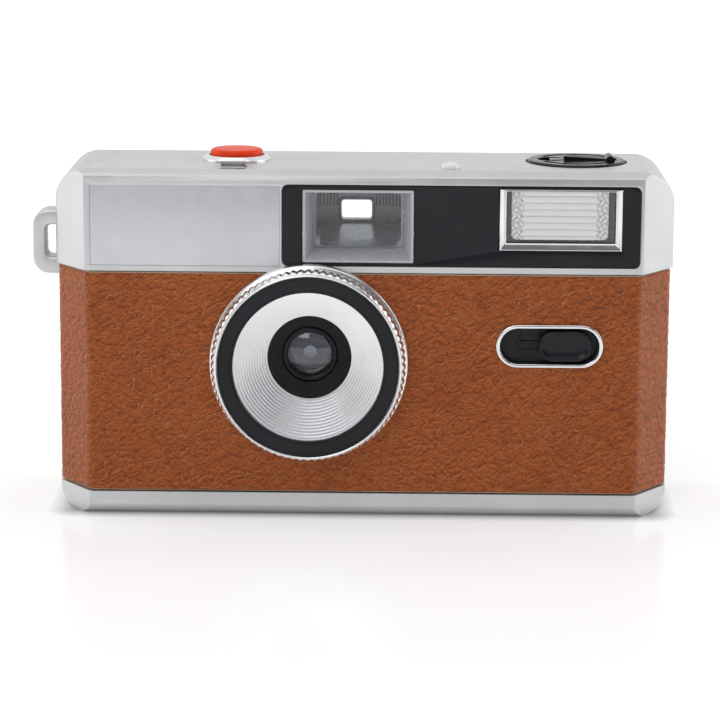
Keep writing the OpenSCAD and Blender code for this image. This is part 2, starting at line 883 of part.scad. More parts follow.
module advance_wheel() {
    color("black")
    translate([spool_x, spool_y, 0]) {
        translate([0, 0, 51.2])
            linear_extrude(5.6)
                polygon([for (i = [0:119]) let(r = i % 2 == 0 ? wheel_r : wheel_r - 0.5)
                         [r * cos(i * 3), r * sin(i * 3)]]);
        // ratchet below the wheel
        translate([0, 0, 49.6])
            linear_extrude(1.7)
                polygon([for (i = [0:23]) each [[7 * cos(i * 15), 7 * sin(i * 15)],
                                                [6.1 * cos(i * 15 + 1.5), 6.1 * sin(i * 15 + 1.5)]]]);
        rod(2.0, 46.9, 50);
        rod(1.2, 41, 47);
    }
}

module ratchet_pawl() {
    color("silver")
    difference() {
        union() {
            translate([pawl_x, pawl_y, 0]) rod(1.5, 49.8, 51.0);
            translate([0, 0, 49.8])
                linear_extrude(1.2)
                    polygon([[pawl_x, pawl_y - 1.4], [pawl_x + 5.4, pawl_y - 0.3],
                             [pawl_x + 5.6, pawl_y + 0.6], [pawl_x + 1.4, pawl_y + 0.5]]);
        }
        translate([pawl_x, pawl_y, 0]) rod(0.85, 49, 52);
    }
}

// ---------- rewind ----------

module rewind_shaft() {
    color("silver")
    translate([rewind_x, rewind_y, 0])
        difference() {
            union() {
                rod(2.0, 51, 61.9);
                rod(2.9, 46.5, 51.1);
            }
            // fork slot that takes the bar of the cartridge spool
            block([-1.0, -4, 46], [1.0, 4, 50]);
        }
}

module rewind_sleeve() {
    color("dimgray")
        translate([rewind_x, rewind_y, 0]) tube(3.2, 2.06, 51.2, 52.6);
}

module rewind_knob() {
    color("black")
    difference() {
        union() {
            translate([rewind_x, rewind_y, 0])
                rotate_extrude($fn = 72)
                    polygon([[0, 61.9], [8.6, 61.9], [9.15, 62.4], [9.15, 64.6], [8.8, 64.9], [0, 64.9]]);
            // ears of the crank pivot
            for (y = [rewind_y - 2.6, rewind_y + 1.7])
                intersection() {
                    block([crank_px - 1.6, y, 64], [crank_px + 1.6, y + 0.9, 67]);
                    translate([crank_px, rewind_y + 5, crank_pz - 0.1])
                        rotate([90, 0, 0])
                            cylinder(r = 0.85, h = 10);
                }
        }
        // arc slots either side of the bed
        for (m = [0, 1])
            translate([rewind_x, rewind_y, 0])
                mirror([0, m, 0])
                    intersection() {
                        tube(7.4, 6.3, 64.3, 65.1);
                        translate([0, 0, 64])
                            linear_extrude(2)
                                polygon([[0, 0], [17.6, 9.4], [0, 20], [-17.6, 9.4]]);
                    }
        // bed of the folded crank and of its handle
        block([rewind_x - 5.2, rewind_y - 1.65, 63.8], [crank_px + 1.3, rewind_y + 1.65, 67]);
        translate([rewind_x - 4.6, rewind_y, 0]) rod(2.7, 62.3, 67);
        translate([crank_px, rewind_y + 5, crank_pz]) rotate([90, 0, 0]) cylinder(r = 0.47, h = 10);
    }
}

module crank_arm() {
    color("black")
    union() {
        block([rewind_x - 5.0, rewind_y - 1.5, 64.0], [crank_px, rewind_y + 1.5, 64.9]);
        translate([crank_px, rewind_y + 1.5, crank_pz]) rotate([90, 0, 0]) cylinder(r = 0.8, h = 3);
        // back of the arm, rising to a finger lip
        translate([0, rewind_y + 1.5, 0])
            rotate([90, 0, 0])
                linear_extrude(3)
                    polygon([[rewind_x - 2.4, 64.5], [crank_px, 64.5], [crank_px, 65.1], [rewind_x - 2.4, 65.65]]);
        // pivot pin
        translate([crank_px, rewind_y + 2.6, crank_pz]) rotate([90, 0, 0]) cylinder(r = 0.4, h = 5.2);
        translate([rewind_x - 4.6, rewind_y, 0]) rod(0.7, 62.6, 64.2);
    }
}

module crank_handle() {
    color("black")
        translate([rewind_x - 4.6, rewind_y, 0]) tube(2.2, 0.76, 62.6, 63.9);
}

// ---------- back door ----------

module back_door() {
    color("dimgray")
    difference() {
        union() {
            intersection() {
                difference() {
                    casing(leather_t);
                    casing(wall + 0.2);
                }
                union() {
                    front_plate([
                        [hinge_x, base_h + door_gap], [side_x + 1, base_h + door_gap],
                        [side_x + 1, door_top_high], [door_step_x, door_top_high],
                        [door_step_x, door_top_low], [hinge_x, door_top_low]
                    ], shell_back_y + 0.4, rear_y + 1);
                    block([-side_x - 1, hinge_y, base_h + door_gap], [hinge_x + 1, rear_y + 1, door_top_low]);
                }
            }
            intersection() {
                casing(0);
                translate([hinge_x, hinge_y, 0]) rod(hinge_r, base_h + door_gap, door_top_low);
            }
            // catch for the latch
            block([54.0, 9.6, 36.2], [side_x - 1, 11, 38.2]);
        }
        block([-side_x - 1, shell_back_y - 1, 0], [hinge_x, hinge_y - hinge_r, body_h]);
        translate([hinge_x, hinge_y, 0]) rod(0.76, 0, body_h);
    }
}

module leather_back() {
    color("sienna")
    intersection() {
        difference() {
            casing(0);
            casing(leather_t);
        }
        union() {
            front_plate([
                [hinge_x + 1.5, base_h + door_gap], [side_x + 1, base_h + door_gap],
                [side_x + 1, door_top_high], [door_step_x, door_top_high],
                [door_step_x, door_top_low], [hinge_x + 1.5, door_top_low]
            ], shell_back_y + 0.4, rear_y + 1);
            // starts far enough behind the hinge to clear the side at 110 degrees
            block([-side_x - 1, hinge_y + hinge_r + 0.65, base_h + door_gap],
                  [hinge_x + 2, rear_y + 1, door_top_low]);
        }
    }
}

module pressure_plate() {
    color("black")
    union() {
        front_plate(
            rounded(rectangle(-19.4, 12.2, 12, 46.2), [1.5, 1.5, 1.5, 1.5]),
            film_y + 0.3, film_y + 1.3
        );
        // studs held by the leaf spring
        for (z = [20, 38]) translate([-4, film_y + 1.2, z]) rotate([-90, 0, 0]) cylinder(r = 0.9, h = 0.7);
    }
}

module pressure_spring() {
    color("goldenrod")
    difference() {
        front_plate(rounded(rectangle(-8, 16, 0, 42.4), [1, 1, 1, 1]), 13.85, 14.15);
        for (z = [20, 38]) translate([-4, 13, z]) rotate([-90, 0, 0]) cylinder(r = 1.2, h = 2);
    }
}

module light_seals() {
    color("black") {
        block([-50, 13.5, 5.3], [24, 14.2, 6.7]);
        block([-50, 13.5, 47.0], [24, 14.2, 47.8]);
        block([26.8, 13.5, 49.2], [50, 14.2, 50.8]);
    }
}

module hinge_pin() {
    color("silver")
        translate([hinge_x, hinge_y, 0]) rod(0.7, 3.0, 49.5);
}

module door_latch() {
    color("silver")
    union() {
        // thumb piece in the side slot
        block([side_x - 1.6, 1.7, 24.2], [side_x - 0.1, 6.8, 33.8]);
        block([54.05, 3, 24.6], [54.65, 12.6, 33.4]);
        block([54.1, 3, 25], [side_x - 1, 6.6, 33]);
        // nose beside the catch of the door
        block([54.05, 11.3, 24.6], [54.65, 12.6, 36.0]);
    }
}

// ---------- base ----------

module rewind_release() {
    color("silver")
    translate([sprocket_x, sprocket_y, 0]) {
        rod(2.2, 0.3, 3.4);
        rod(3.0, 2.5, 3.1);
    }
}

module release_spring() {
    color("silver")
        translate([sprocket_x, sprocket_y, 0]) spring_body(1.85, 0.25, 3.45, 5.55, 4);
}

module base_screws() {
    color("silver")
    for (x = screw_xs, y = screw_ys)
        translate([x, y, 0]) {
            difference() {
                rod(1.8, 0.5, 1.6);
                for (a = [0, 90]) rotate([0, 0, a]) block([-1.1, -0.25, 0.4], [1.1, 0.25, 1.0]);
            }
            rod(0.95, 1.5, 6.4);
        }
}

module strap_lug() {
    color("silver")
    difference() {
        front_plate(
            rounded(rectangle(-side_x - 5, 43.4, -side_x, 55.5), [3, 0.2, 0.2, 3]),
            -4.5, 0.5
        );
        front_plate(
            rounded(rectangle(-side_x - 2.6, 46.6, -side_x + 1, 52.6), [1, 0, 0, 1]),
            -6, 2
        );
    }
}

top_cover();
bottom_cover();
front_shell();
leather_front();
name_plate();
window_panel();
finder_hood();
finder_front_lens();
eyepiece_lens();
eyepiece_frame();
flash_frame();
flash_window();
flash_reflector();
flash_tube();
flash_board();
flash_capacitor();
battery_trough();
battery_contacts();
battery_door();
lens_barrel();
lens_ring_plate();
lens_funnel();
lens_mount();
front_lens();
lens_retaining_ring();
aperture_plate();
rear_lens();
shutter_plate();
shutter_blade();
release_lever();
shutter_button();
button_spring();
button_collar();
counter_dial();
counter_window();
ready_lamp();
switch_bezel();
switch_track();
switch_knob();
chassis();
film_sprocket();
takeup_spool();
advance_wheel();
ratchet_pawl();
rewind_shaft();
rewind_sleeve();
rewind_knob();
crank_arm();
crank_handle();
back_door();
leather_back();
pressure_plate();
pressure_spring();
light_seals();
hinge_pin();
door_latch();
rewind_release();
release_spring();
base_screws();
strap_lug();
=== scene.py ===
"""Looks of the compact half frame camera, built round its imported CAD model. Metres."""
import json
import math

import bmesh
import bpy
from mathutils import Matrix, Vector, noise


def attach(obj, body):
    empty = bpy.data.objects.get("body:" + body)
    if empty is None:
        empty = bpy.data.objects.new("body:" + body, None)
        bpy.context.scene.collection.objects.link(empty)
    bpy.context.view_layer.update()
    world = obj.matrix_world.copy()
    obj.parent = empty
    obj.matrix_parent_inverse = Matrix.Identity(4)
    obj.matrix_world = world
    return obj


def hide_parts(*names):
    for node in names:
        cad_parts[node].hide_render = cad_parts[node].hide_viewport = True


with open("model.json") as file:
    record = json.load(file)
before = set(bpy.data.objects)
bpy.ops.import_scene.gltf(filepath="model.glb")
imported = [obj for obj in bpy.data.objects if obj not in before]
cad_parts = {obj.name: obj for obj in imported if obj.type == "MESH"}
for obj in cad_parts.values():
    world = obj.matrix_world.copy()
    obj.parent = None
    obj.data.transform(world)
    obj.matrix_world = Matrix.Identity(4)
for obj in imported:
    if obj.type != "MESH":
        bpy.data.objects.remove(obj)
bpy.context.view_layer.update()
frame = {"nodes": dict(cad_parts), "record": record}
SLOT_OF = {part["node"]: part["material_slot"] for part in frame["record"]["subparts"]}
BODY_OF = {
    node: body
    for body, nodes in frame["record"]["behaviour"]["bodies"].items()
    for node in nodes
}
MM = 0.001


def in_scene(name, data):
    """A new object that holds data, linked into the scene."""
    obj = bpy.data.objects.new(name, data)
    bpy.context.collection.objects.link(obj)
    return obj


# ---------------------------------------------------------------- camera and light

def look_at(obj, target, roll=0.0):
    """Turns obj's -Z towards target, +Y up, then rolls it clockwise by roll radians."""
    turn = (Vector(target) - obj.location).to_track_quat("-Z", "Y")
    obj.rotation_euler = (turn.to_matrix().to_4x4() @ Matrix.Rotation(roll, 4, "Z")).to_euler()


def make_camera():
    """Long lens, a little above the camera and square to its front."""
    azimuth, elevation, roll = math.radians(0.8), math.radians(11.51), math.radians(0.35)
    distance = 0.560
    target = Vector((-0.77, 0.0, 26.45)) * MM
    data = bpy.data.cameras.new("camera")
    data.sensor_width = 36.0
    data.lens = 147.67
    data.clip_start = 0.01
    camera = in_scene("camera", data)
    camera.location = target + distance * Vector((
        math.sin(azimuth) * math.cos(elevation),
        -math.cos(azimuth) * math.cos(elevation),
        math.sin(elevation),
    ))
    look_at(camera, target, roll)
    bpy.context.scene.camera = camera


def area_light(name, place, target, size, power):
    data = bpy.data.lights.new(name, "AREA")
    data.shape = "RECTANGLE"
    data.size, data.size_y = size
    data.energy = power
    lamp = in_scene(name, data)
    lamp.location = place
    look_at(lamp, target)


def make_studio():
    """White studio: bright behind and above, dimmer where the photographer stands."""
    world = bpy.data.worlds.new("studio")
    world.use_nodes = True
    tree = world.node_tree
    background = tree.nodes["Background"]
    coords = tree.nodes.new("ShaderNodeTexCoord")
    split = tree.nodes.new("ShaderNodeSeparateXYZ")
    ramp = tree.nodes.new("ShaderNodeValToRGB")
    tree.links.new(coords.outputs["Generated"], split.inputs[0])
    tree.links.new(split.outputs["Y"], ramp.inputs["Fac"])
    ramp.color_ramp.elements[0].position = 0.0
    ramp.color_ramp.elements[0].color = (0.20, 0.20, 0.205, 1)
    ramp.color_ramp.elements[1].position = 0.30
    ramp.color_ramp.elements[1].color = (1.0, 1.0, 1.0, 1)
    tree.links.new(ramp.outputs["Color"], background.inputs["Color"])
    background.inputs["Strength"].default_value = 0.84
    bpy.context.scene.world = world
    bpy.context.scene.view_settings.view_transform = "Standard"
    middle = (0, 0, 0.03)
    area_light("top_light", (-0.05, -0.25, 0.85), middle, (1.2, 0.9), 3.2)
    area_light("left_light", (-0.75, 0.05, 0.35), middle, (0.5, 0.6), 1.5)
    area_light("right_light", (0.78, 0.05, 0.35), middle, (0.5, 0.6), 2.1)
    area_light("front_light", (-0.3, -0.85, 0.55), middle, (0.5, 0.4), 2.0)


# ---------------------------------------------------------------- node helpers

class Shader:
    """A material's node tree, with short calls for the nodes used here."""

    def __init__(self, name):
        self.material = bpy.data.materials.new(name)
        self.material.use_nodes = True
        self.tree = self.material.node_tree
        self.bsdf = self.tree.nodes["Principled BSDF"]
        self.coords = self.tree.nodes.new("ShaderNodeTexCoord").outputs["Object"]

    def add(self, kind, **values):
        node = self.tree.nodes.new(kind)
        for key, value in values.items():
            setattr(node, key, value)
        return node

    def link(self, a, b):
        self.tree.links.new(a, b)

    def set(self, **values):
        """Sets constants on the Principled node; underscores stand for spaces."""
        for key, value in values.items():
            self.bsdf.inputs[key.replace("_", " ")].default_value = value

    def stretched(self, scale):
        mapping = self.add("ShaderNodeMapping")
        mapping.inputs["Scale"].default_value = scale
        self.link(self.coords, mapping.inputs["Vector"])
        return mapping.outputs["Vector"]

    def noise(self, scale, detail=4.0, roughness=0.55, vector=None, distortion=0.0):
        node = self.add("ShaderNodeTexNoise")
        node.inputs["Scale"].default_value = scale
        node.inputs["Detail"].default_value = detail
        node.inputs["Roughness"].default_value = roughness
        node.inputs["Distortion"].default_value = distortion
        self.link(vector or self.coords, node.inputs["Vector"])
        return node.outputs["Fac"]

    def voronoi(self, scale, feature="DISTANCE_TO_EDGE", vector=None):
        node = self.add("ShaderNodeTexVoronoi", feature=feature)
        node.inputs["Scale"].default_value = scale
        self.link(vector or self.coords, node.inputs["Vector"])
        return node.outputs["Distance"]

    def ramp(self, value, stops):
        node = self.add("ShaderNodeValToRGB")
        ramp = node.color_ramp
        while len(ramp.elements) < len(stops):
            ramp.elements.new(0.5)
        for element, (place, colour) in zip(ramp.elements, stops):
            element.position = place
            element.color = (*colour, 1) if len(colour) == 3 else colour
        self.link(value, node.inputs["Fac"])
        return node.outputs["Color"]

    def range(self, value, low, high, start=0.3, end=0.7):
        node = self.add("ShaderNodeMapRange")
        for name, number in (("From Min", start), ("From Max", end), ("To Min", low), ("To Max", high)):
            node.inputs[name].default_value = number
        self.link(value, node.inputs["Value"])
        return node.outputs["Result"]

    def mix(self, factor, a, b, blend="MIX"):
        node = self.add("ShaderNodeMix", data_type="RGBA", blend_type=blend)
        for socket, value in ((node.inputs[0], factor), (node.inputs[6], a), (node.inputs[7], b)):
            if isinstance(value, bpy.types.NodeSocket):
                self.link(value, socket)
            else:
                socket.default_value = value if isinstance(value, float) else (*value, 1)
        return node.outputs[2]

    def multiply(self, a, b):
        node = self.add("ShaderNodeMath", operation="MULTIPLY")
        self.link(a, node.inputs[0])
        self.link(b, node.inputs[1])
        return node.outputs[0]

    def bump(self, height, strength, distance, normal=None):
        node = self.add("ShaderNodeBump")
        node.inputs["Strength"].default_value = strength
        node.inputs["Distance"].default_value = distance
        self.link(height, node.inputs["Height"])
        if normal:
            self.link(normal, node.inputs["Normal"])
        return node.outputs["Normal"]

    def colour(self, socket):
        self.link(socket, self.bsdf.inputs["Base Color"])

    def roughness(self, socket):
        self.link(socket, self.bsdf.inputs["Roughness"])

    def normal(self, socket):
        self.link(socket, self.bsdf.inputs["Normal"])


def tone(colour, factor):
    return tuple(min(1.0, c * factor) for c in colour)


def moulded(
    name, colour, metallic=0.0, rough=(0.3, 0.45), grain=4000, grain_depth=0.00002, coat=0.0, drift=0.06,
    specular=0.5,
):
    """Moulded or painted surface: slow colour drift, patchy gloss and a fine grain."""
    shader = Shader(name)
    slow = shader.noise(45, 3)
    shader.colour(shader.ramp(slow, [(0.3, tone(colour, 1 - drift)), (0.7, tone(colour, 1 + drift))]))
    shader.roughness(shader.range(shader.noise(260, 4), *rough))
    fine = shader.noise(grain, 3, 0.6)
    shader.normal(shader.bump(fine, 0.35, grain_depth))
    shader.set(
        Metallic=metallic, Coat_Weight=coat, Coat_Roughness=0.08, Specular_IOR_Level=specular
    )
    return shader.material


def leather():
    """Tan leatherette. The mesh carries its creases, and the attribute grain holds painted light and shade for
    them.
    A finer net of creases is raised here with a bump and drawn with a painted highlight and painted shade."""
    shader = Shader("leatherette")
    grain = shader.add("ShaderNodeAttribute", attribute_name="grain").outputs["Fac"]
    slow = shader.noise(60, 4)
    worn = shader.noise(700, 3)
    # painted light and shade: the dark colour is the shaded hide, the light one the lit hide, mixed by the
    # attribute grain
    low = shader.ramp(slow, [(0.3, (0.155, 0.031, 0.005)), (0.7, (0.185, 0.040, 0.007))])
    high = shader.ramp(slow, [(0.3, (0.44, 0.108, 0.023)), (0.7, (0.52, 0.136, 0.032))])
    hide = shader.mix(shader.range(grain, 0.0, 1.0, 0.05, 0.95), low, high)
    # sparse fine creases: a painted highlight on the lower lip of each, painted shade on its upper lip
    wobble = shader.add("ShaderNodeTexNoise")
    wobble.inputs["Scale"].default_value = 330
    shader.link(shader.coords, wobble.inputs["Vector"])
    bent = shader.add("ShaderNodeVectorMath", operation="MULTIPLY_ADD")
    shader.link(wobble.outputs["Color"], bent.inputs[0])
    bent.inputs[1].default_value = (0.0022, 0.0022, 0.0022)
    shader.link(shader.coords, bent.inputs[2])
    lips = []
    for lift in (0.00010, -0.00010):
        moved = shader.add("ShaderNodeMapping")
        moved.inputs["Location"].default_value = (0, 0, lift)
        moved.inputs["Rotation"].default_value = (0, 0.6, 0)
        moved.inputs["Scale"].default_value = (0.75, 0.75, 1.2)
        shader.link(bent.outputs["Vector"], moved.inputs["Vector"])
        lips.append(shader.voronoi(640, vector=moved.outputs["Vector"]))
    here = shader.range(shader.noise(420, 2), 0.0, 1.0, 0.44, 0.60)
    light = shader.multiply(here, shader.range(lips[0], 0.42, 0.0, 0.01, 0.09))
    shade = shader.multiply(here, shader.range(lips[1], 0.50, 0.0, 0.01, 0.10))
    hide = shader.mix(light, hide, (0.66, 0.25, 0.10))
    shader.colour(shader.mix(shade, hide, (0.11, 0.020, 0.003)))
    shader.roughness(shader.range(worn, 0.44, 0.60))
    normal = shader.bump(shader.range(lips[1], 0.0, 1.0, 0.0, 0.16), 0.3, 0.0001)
    pores = shader.voronoi(3600)
    normal = shader.bump(pores, 0.25, 0.00005, normal)
    shader.normal(shader.bump(shader.noise(9000, 2), 0.2, 0.00001, normal))
    shader.set(
        Specular_IOR_Level=0.22, Sheen_Weight=0.40, Sheen_Roughness=0.4, Sheen_Tint=(1.0, 0.78, 0.62, 1)
    )
    return shader.material


def brushed(name, colour, along="X", rough=(0.26, 0.42), depth=0.000012, metallic=1.0):
    """Brushed metal: long fine scratches along one axis."""
    shader = Shader(name)
    scale = {"X": (18, 900, 5200), "Z": (5200, 900, 18), "Y": (5200, 18, 5200)}[along]
    streaks = shader.noise(1.0, 5, 0.7, vector=shader.stretched(scale))
    shader.colour(shader.ramp(streaks, [(0.25, tone(colour, 0.86)), (0.75, tone(colour, 1.08))]))
    shader.roughness(shader.range(streaks, *rough))
    shader.normal(shader.bump(streaks, 0.3, depth))
    shader.set(Metallic=metallic)
    return shader.material


def turned(name, colour, rough=0.3, anisotropic=0.6, metallic=1.0):
    """Lathe-turned metal about the lens axis: the highlight spreads across the grooves."""
    shader = Shader(name)
    slow = shader.noise(120, 3)
    shader.colour(shader.ramp(slow, [(0.3, tone(colour, 0.96)), (0.7, tone(colour, 1.04))]))
    tangent = shader.add("ShaderNodeTangent", direction_type="RADIAL", axis="Y")
    shader.link(tangent.outputs["Tangent"], shader.bsdf.inputs["Tangent"])
    fine = shader.noise(3000, 3)
    shader.normal(shader.bump(fine, 0.15, 0.00001))
    shader.roughness(shader.range(fine, rough - 0.05, rough + 0.05))
    shader.set(Metallic=metallic, Anisotropic=anisotropic)
    return shader.material


def polished(name, colour, rough=(0.06, 0.14)):
    shader = Shader(name)
    smudge = shader.noise(180, 4)
    shader.colour(shader.ramp(smudge, [(0.3, tone(colour, 0.95)), (0.7, tone(colour, 1.03))]))
    shader.roughness(shader.range(smudge, *rough))
    shader.normal(shader.bump(shader.noise(900, 2), 0.08, 0.00002))
    shader.set(Metallic=1.0)
    return shader.material


def clear_window(name, tint=(0.97, 0.98, 0.99), haze=0.02):
    """Thin clear plastic: light goes straight through, the surface only reflects."""
    shader = Shader(name)
    smudge = shader.noise(140, 3)
    gloss = shader.add("ShaderNodeBsdfGlossy")
    shader.link(shader.range(smudge, haze, haze + 0.03), gloss.inputs["Roughness"])
    through = shader.add("ShaderNodeBsdfTransparent")
    through.inputs["Color"].default_value = (*tint, 1)
    fresnel = shader.add("ShaderNodeFresnel")
    fresnel.inputs["IOR"].default_value = 1.45
    both = shader.add("ShaderNodeMixShader")
    shader.link(fresnel.outputs[0], both.inputs[0])
    shader.link(through.outputs[0], both.inputs[1])
    shader.link(gloss.outputs[0], both.inputs[2])
    output = shader.tree.nodes["Material Output"]
    shader.link(both.outputs[0], output.inputs["Surface"])
    shader.tree.nodes.remove(shader.bsdf)
    return shader.material


def ribbed_window():
    """Moulded clear acrylic whose base colour is painted with the glow of the light the reflector sends back.
    The mesh attribute clear holds this painted light, low (painted shade) where the moulding bends the light
    away."""
    shader = Shader("ribbed_window")
    clear = shader.add("ShaderNodeAttribute", attribute_name="clear").outputs["Fac"]
    cloud = shader.noise(320, 3)
    shader.colour(shader.ramp(clear, [
        (0.0, (0.20, 0.205, 0.20)), (0.45, (0.66, 0.665, 0.65)), (0.9, (0.99, 0.99, 0.975)),
    ]))
    shader.roughness(shader.range(cloud, 0.10, 0.20))
    shader.normal(shader.bump(shader.noise(1500, 2), 0.15, 0.00003))
    shader.set(Transmission_Weight=0.25, IOR=1.33, Specular_IOR_Level=0.6, Coat_Weight=0.3)
    return shader.material


def solid_glass(name, tint, rough=0.02, coat=0.5, ior=1.5):
    shader = Shader(name)
    smudge = shader.noise(160, 3)
    shader.colour(shader.ramp(smudge, [(0.3, tone(tint, 0.97)), (0.7, tint)]))
    shader.roughness(shader.range(smudge, rough, rough + 0.02))
    shader.set(Transmission_Weight=1.0, IOR=ior, Coat_Weight=coat)
    return shader.material


MATERIALS = {
    "silver_plastic": moulded(
        "silver_plastic", (0.60, 0.61, 0.62), metallic=0.55, rough=(0.30, 0.40), grain=5200,
        grain_depth=0.000012,
    ),
    "leatherette": leather(),
    "leather_edge": moulded(
        "leather_edge", (0.62, 0.46, 0.33), rough=(0.5, 0.6), grain=2200, grain_depth=0.00004,
        drift=0.2,
    ),
    "satin_plate": moulded(
        "satin_plate", (0.60, 0.60, 0.63), metallic=0.6, rough=(0.30, 0.44), grain=3800,
        grain_depth=0.00003, drift=0.03,
    ),
    "black_gloss": moulded(
        "black_gloss", (0.011, 0.012, 0.015), rough=(0.16, 0.24), grain=900, grain_depth=0.000004,
        drift=0.3, specular=0.22,
    ),
    "black_matte": moulded(
        "black_matte", (0.010, 0.010, 0.011), rough=(0.28, 0.42), grain=3200, grain_depth=0.00003,
        drift=0.25, specular=0.25,
    ),
    "grey_plastic": moulded(
        "grey_plastic", (0.45, 0.46, 0.48), metallic=0.1, rough=(0.20, 0.32), grain=2600,
        grain_depth=0.00001, coat=0.2, drift=0.05,
    ),
    "clear_window": clear_window("clear_window"),
    "ribbed_window": ribbed_window(),
    "channel_grey": moulded(
        "channel_grey", (0.11, 0.11, 0.115), rough=(0.2, 0.3), grain=3000, grain_depth=0.00001,
        drift=0.15,
    ),
    "milky_lens": moulded(
        "milky_lens", (0.78, 0.78, 0.77), rough=(0.12, 0.2), grain=1200, grain_depth=0.000008, coat=0.3,
        drift=0.03,
    ),
    "lens_glass": solid_glass("lens_glass", (0.86, 0.90, 1.0)),
    "chrome": polished("chrome", (0.80, 0.80, 0.81), (0.10, 0.18)),
    "satin_chrome": polished("satin_chrome", (0.86, 0.86, 0.87), (0.20, 0.30)),
    "magnifier": solid_glass("magnifier", (0.97, 0.98, 0.98), 0.03, 0.2, 1.49),
    "funnel_silver": turned("funnel_silver", (0.84, 0.84, 0.86), 0.40, 0.4),
    "reflector": polished("reflector", (0.92, 0.92, 0.92), (0.30, 0.42)),
    "orange_button": moulded(
        "orange_button", (0.82, 0.052, 0.010), rough=(0.28, 0.38), grain=2600, grain_depth=0.00001,
        drift=0.05, specular=0.14,
    ),
    "steel": brushed("steel", (0.50, 0.50, 0.52), "Y"),
    "brass": brushed("brass", (0.62, 0.42, 0.14), "Z"),
    "circuit_board": moulded(
        "circuit_board", (0.02, 0.16, 0.05), rough=(0.25, 0.4), grain=1400, grain_depth=0.00003,
        coat=0.3, drift=0.2,
    ),
    "capacitor_sleeve": moulded(
        "capacitor_sleeve", (0.02, 0.03, 0.14), rough=(0.2, 0.3), grain=1400, grain_depth=0.00001,
        coat=0.4, drift=0.2,
    ),
    "dial_white": moulded(
        "dial_white", (0.80, 0.80, 0.78), rough=(0.35, 0.45), grain=2600, grain_depth=0.00001,
        drift=0.04,
    ),
    "foam": moulded(
        "foam", (0.015, 0.015, 0.015), rough=(0.85, 0.95), grain=5200, grain_depth=0.0002, drift=0.4,
    ),
}


# ---------------------------------------------------------------- mesh helpers

def smooth_object(bm, name, angle):
    """An object made from bm, shaded smooth, with sharp edges past angle in degrees."""
    mesh = bpy.data.meshes.new(name)
    bm.to_mesh(mesh)
    bm.free()
    mesh.polygons.foreach_set("use_smooth", [True] * len(mesh.polygons))
    mesh.set_sharp_from_angle(angle=math.radians(angle))
    return in_scene(name, mesh)


def finish_mesh(bm, name, node=None, material=None, angle=35, body=None):
    """Turns bm into a piece with the material of its slot, on its body. With a node, it takes that node's
    place.
    """
    bmesh.ops.recalc_face_normals(bm, faces=bm.faces)
    obj = smooth_object(bm, name, angle)
    slot = material or SLOT_OF[node]
    obj.data.materials.append(MATERIALS[slot])
    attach(obj, body or BODY_OF[node])
    if node:
        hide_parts(node)
    return obj


def bevelled(obj, width, segments=2, angle=40):
    """Rounds the edges of obj that are sharper than angle in degrees."""
    modifier = obj.modifiers.new("edge", "BEVEL")
    modifier.width = width
    modifier.segments = segments
    modifier.limit_method = "ANGLE"
    modifier.angle_limit = math.radians(angle)
    modifier.harden_normals = True
    modifier.use_clamp_overlap = True
    return obj


def refine(node, name, width=0.0002, segments=2):
    """A finished copy of a CAD node: faces joined, edges rounded, curves shaded smooth."""
    bm = bmesh.new()
    bm.from_mesh(frame["nodes"][node].data)
    bmesh.ops.remove_doubles(bm, verts=bm.verts, dist=0.000004)
    bmesh.ops.dissolve_limit(bm, angle_limit=math.radians(0.6), verts=bm.verts, edges=bm.edges)
    return bevelled(finish_mesh(bm, name, node, angle=30), width, segments)


def lathe(name, profile, centre, axis, node, segments=96, material=None, ripple=None, **kwargs):
    """Turns a closed profile of (radius, along) about a line through centre. axis is "Y" or "Z".
    ripple(radius, along, angle) gives a new radius."""
    bm = bmesh.new()
    rings = []
    for i in range(segments):
        angle = 2 * math.pi * i / segments
        ring = []
        for radius, along in profile:
            r = ripple(radius, along, angle) if ripple else radius
            a, b = r * math.cos(angle), r * math.sin(angle)
            if axis == "Y":
                point = (centre[0] + a, along, centre[1] + b)
            else:
                point = (centre[0] + a, centre[1] + b, along)
            ring.append(bm.verts.new(Vector(point) * MM))
        rings.append(ring)
    count = len(profile)
    for i in range(segments):
        here, there = rings[i], rings[(i + 1) % segments]
        for j in range(count):
            k = (j + 1) % count
            bm.faces.new((here[j], here[k], there[k], there[j]))
    bmesh.ops.remove_doubles(bm, verts=bm.verts, dist=1e-7)
    return finish_mesh(bm, name, node, material, **kwargs)


def prism(bm, low, high):
    """Adds the solid between two outlines of the same number of points, in millimetres."""
    low, high = ([bm.verts.new(Vector(p) * MM) for p in outline] for outline in (low, high))
    bm.faces.new(low)
    bm.faces.new(high)
    for i in range(len(low)):
        k = (i + 1) % len(low)
        bm.faces.new((low[i], low[k], high[k], high[i]))


def arc(cx, cy, radius, start, end, steps):
    """Points on an arc, angles in degrees."""
    turns = [math.radians(start + (end - start) * i / steps) for i in range(steps + 1)]
    return [(cx + radius * math.cos(turn), cy + radius * math.sin(turn)) for turn in turns]


# ---------------------------------------------------------------- outlines, in millimetres

LENS_X, LENS_Z = -10.0, 29.2
FRONT_Y, REAR_Y, SIDE_X = -16.0, 16.0, 57.0
BEVEL_W, BEVEL_D = 6.4, 9.0
COVER_Z, BASE_H = 46.0, 4.4
DOOR_TOP_LOW, DOOR_TOP_HIGH, DOOR_STEP_X = 48.2, 51.2, 25.0
SWITCH_X, SWITCH_Z = 34.25, 32.6


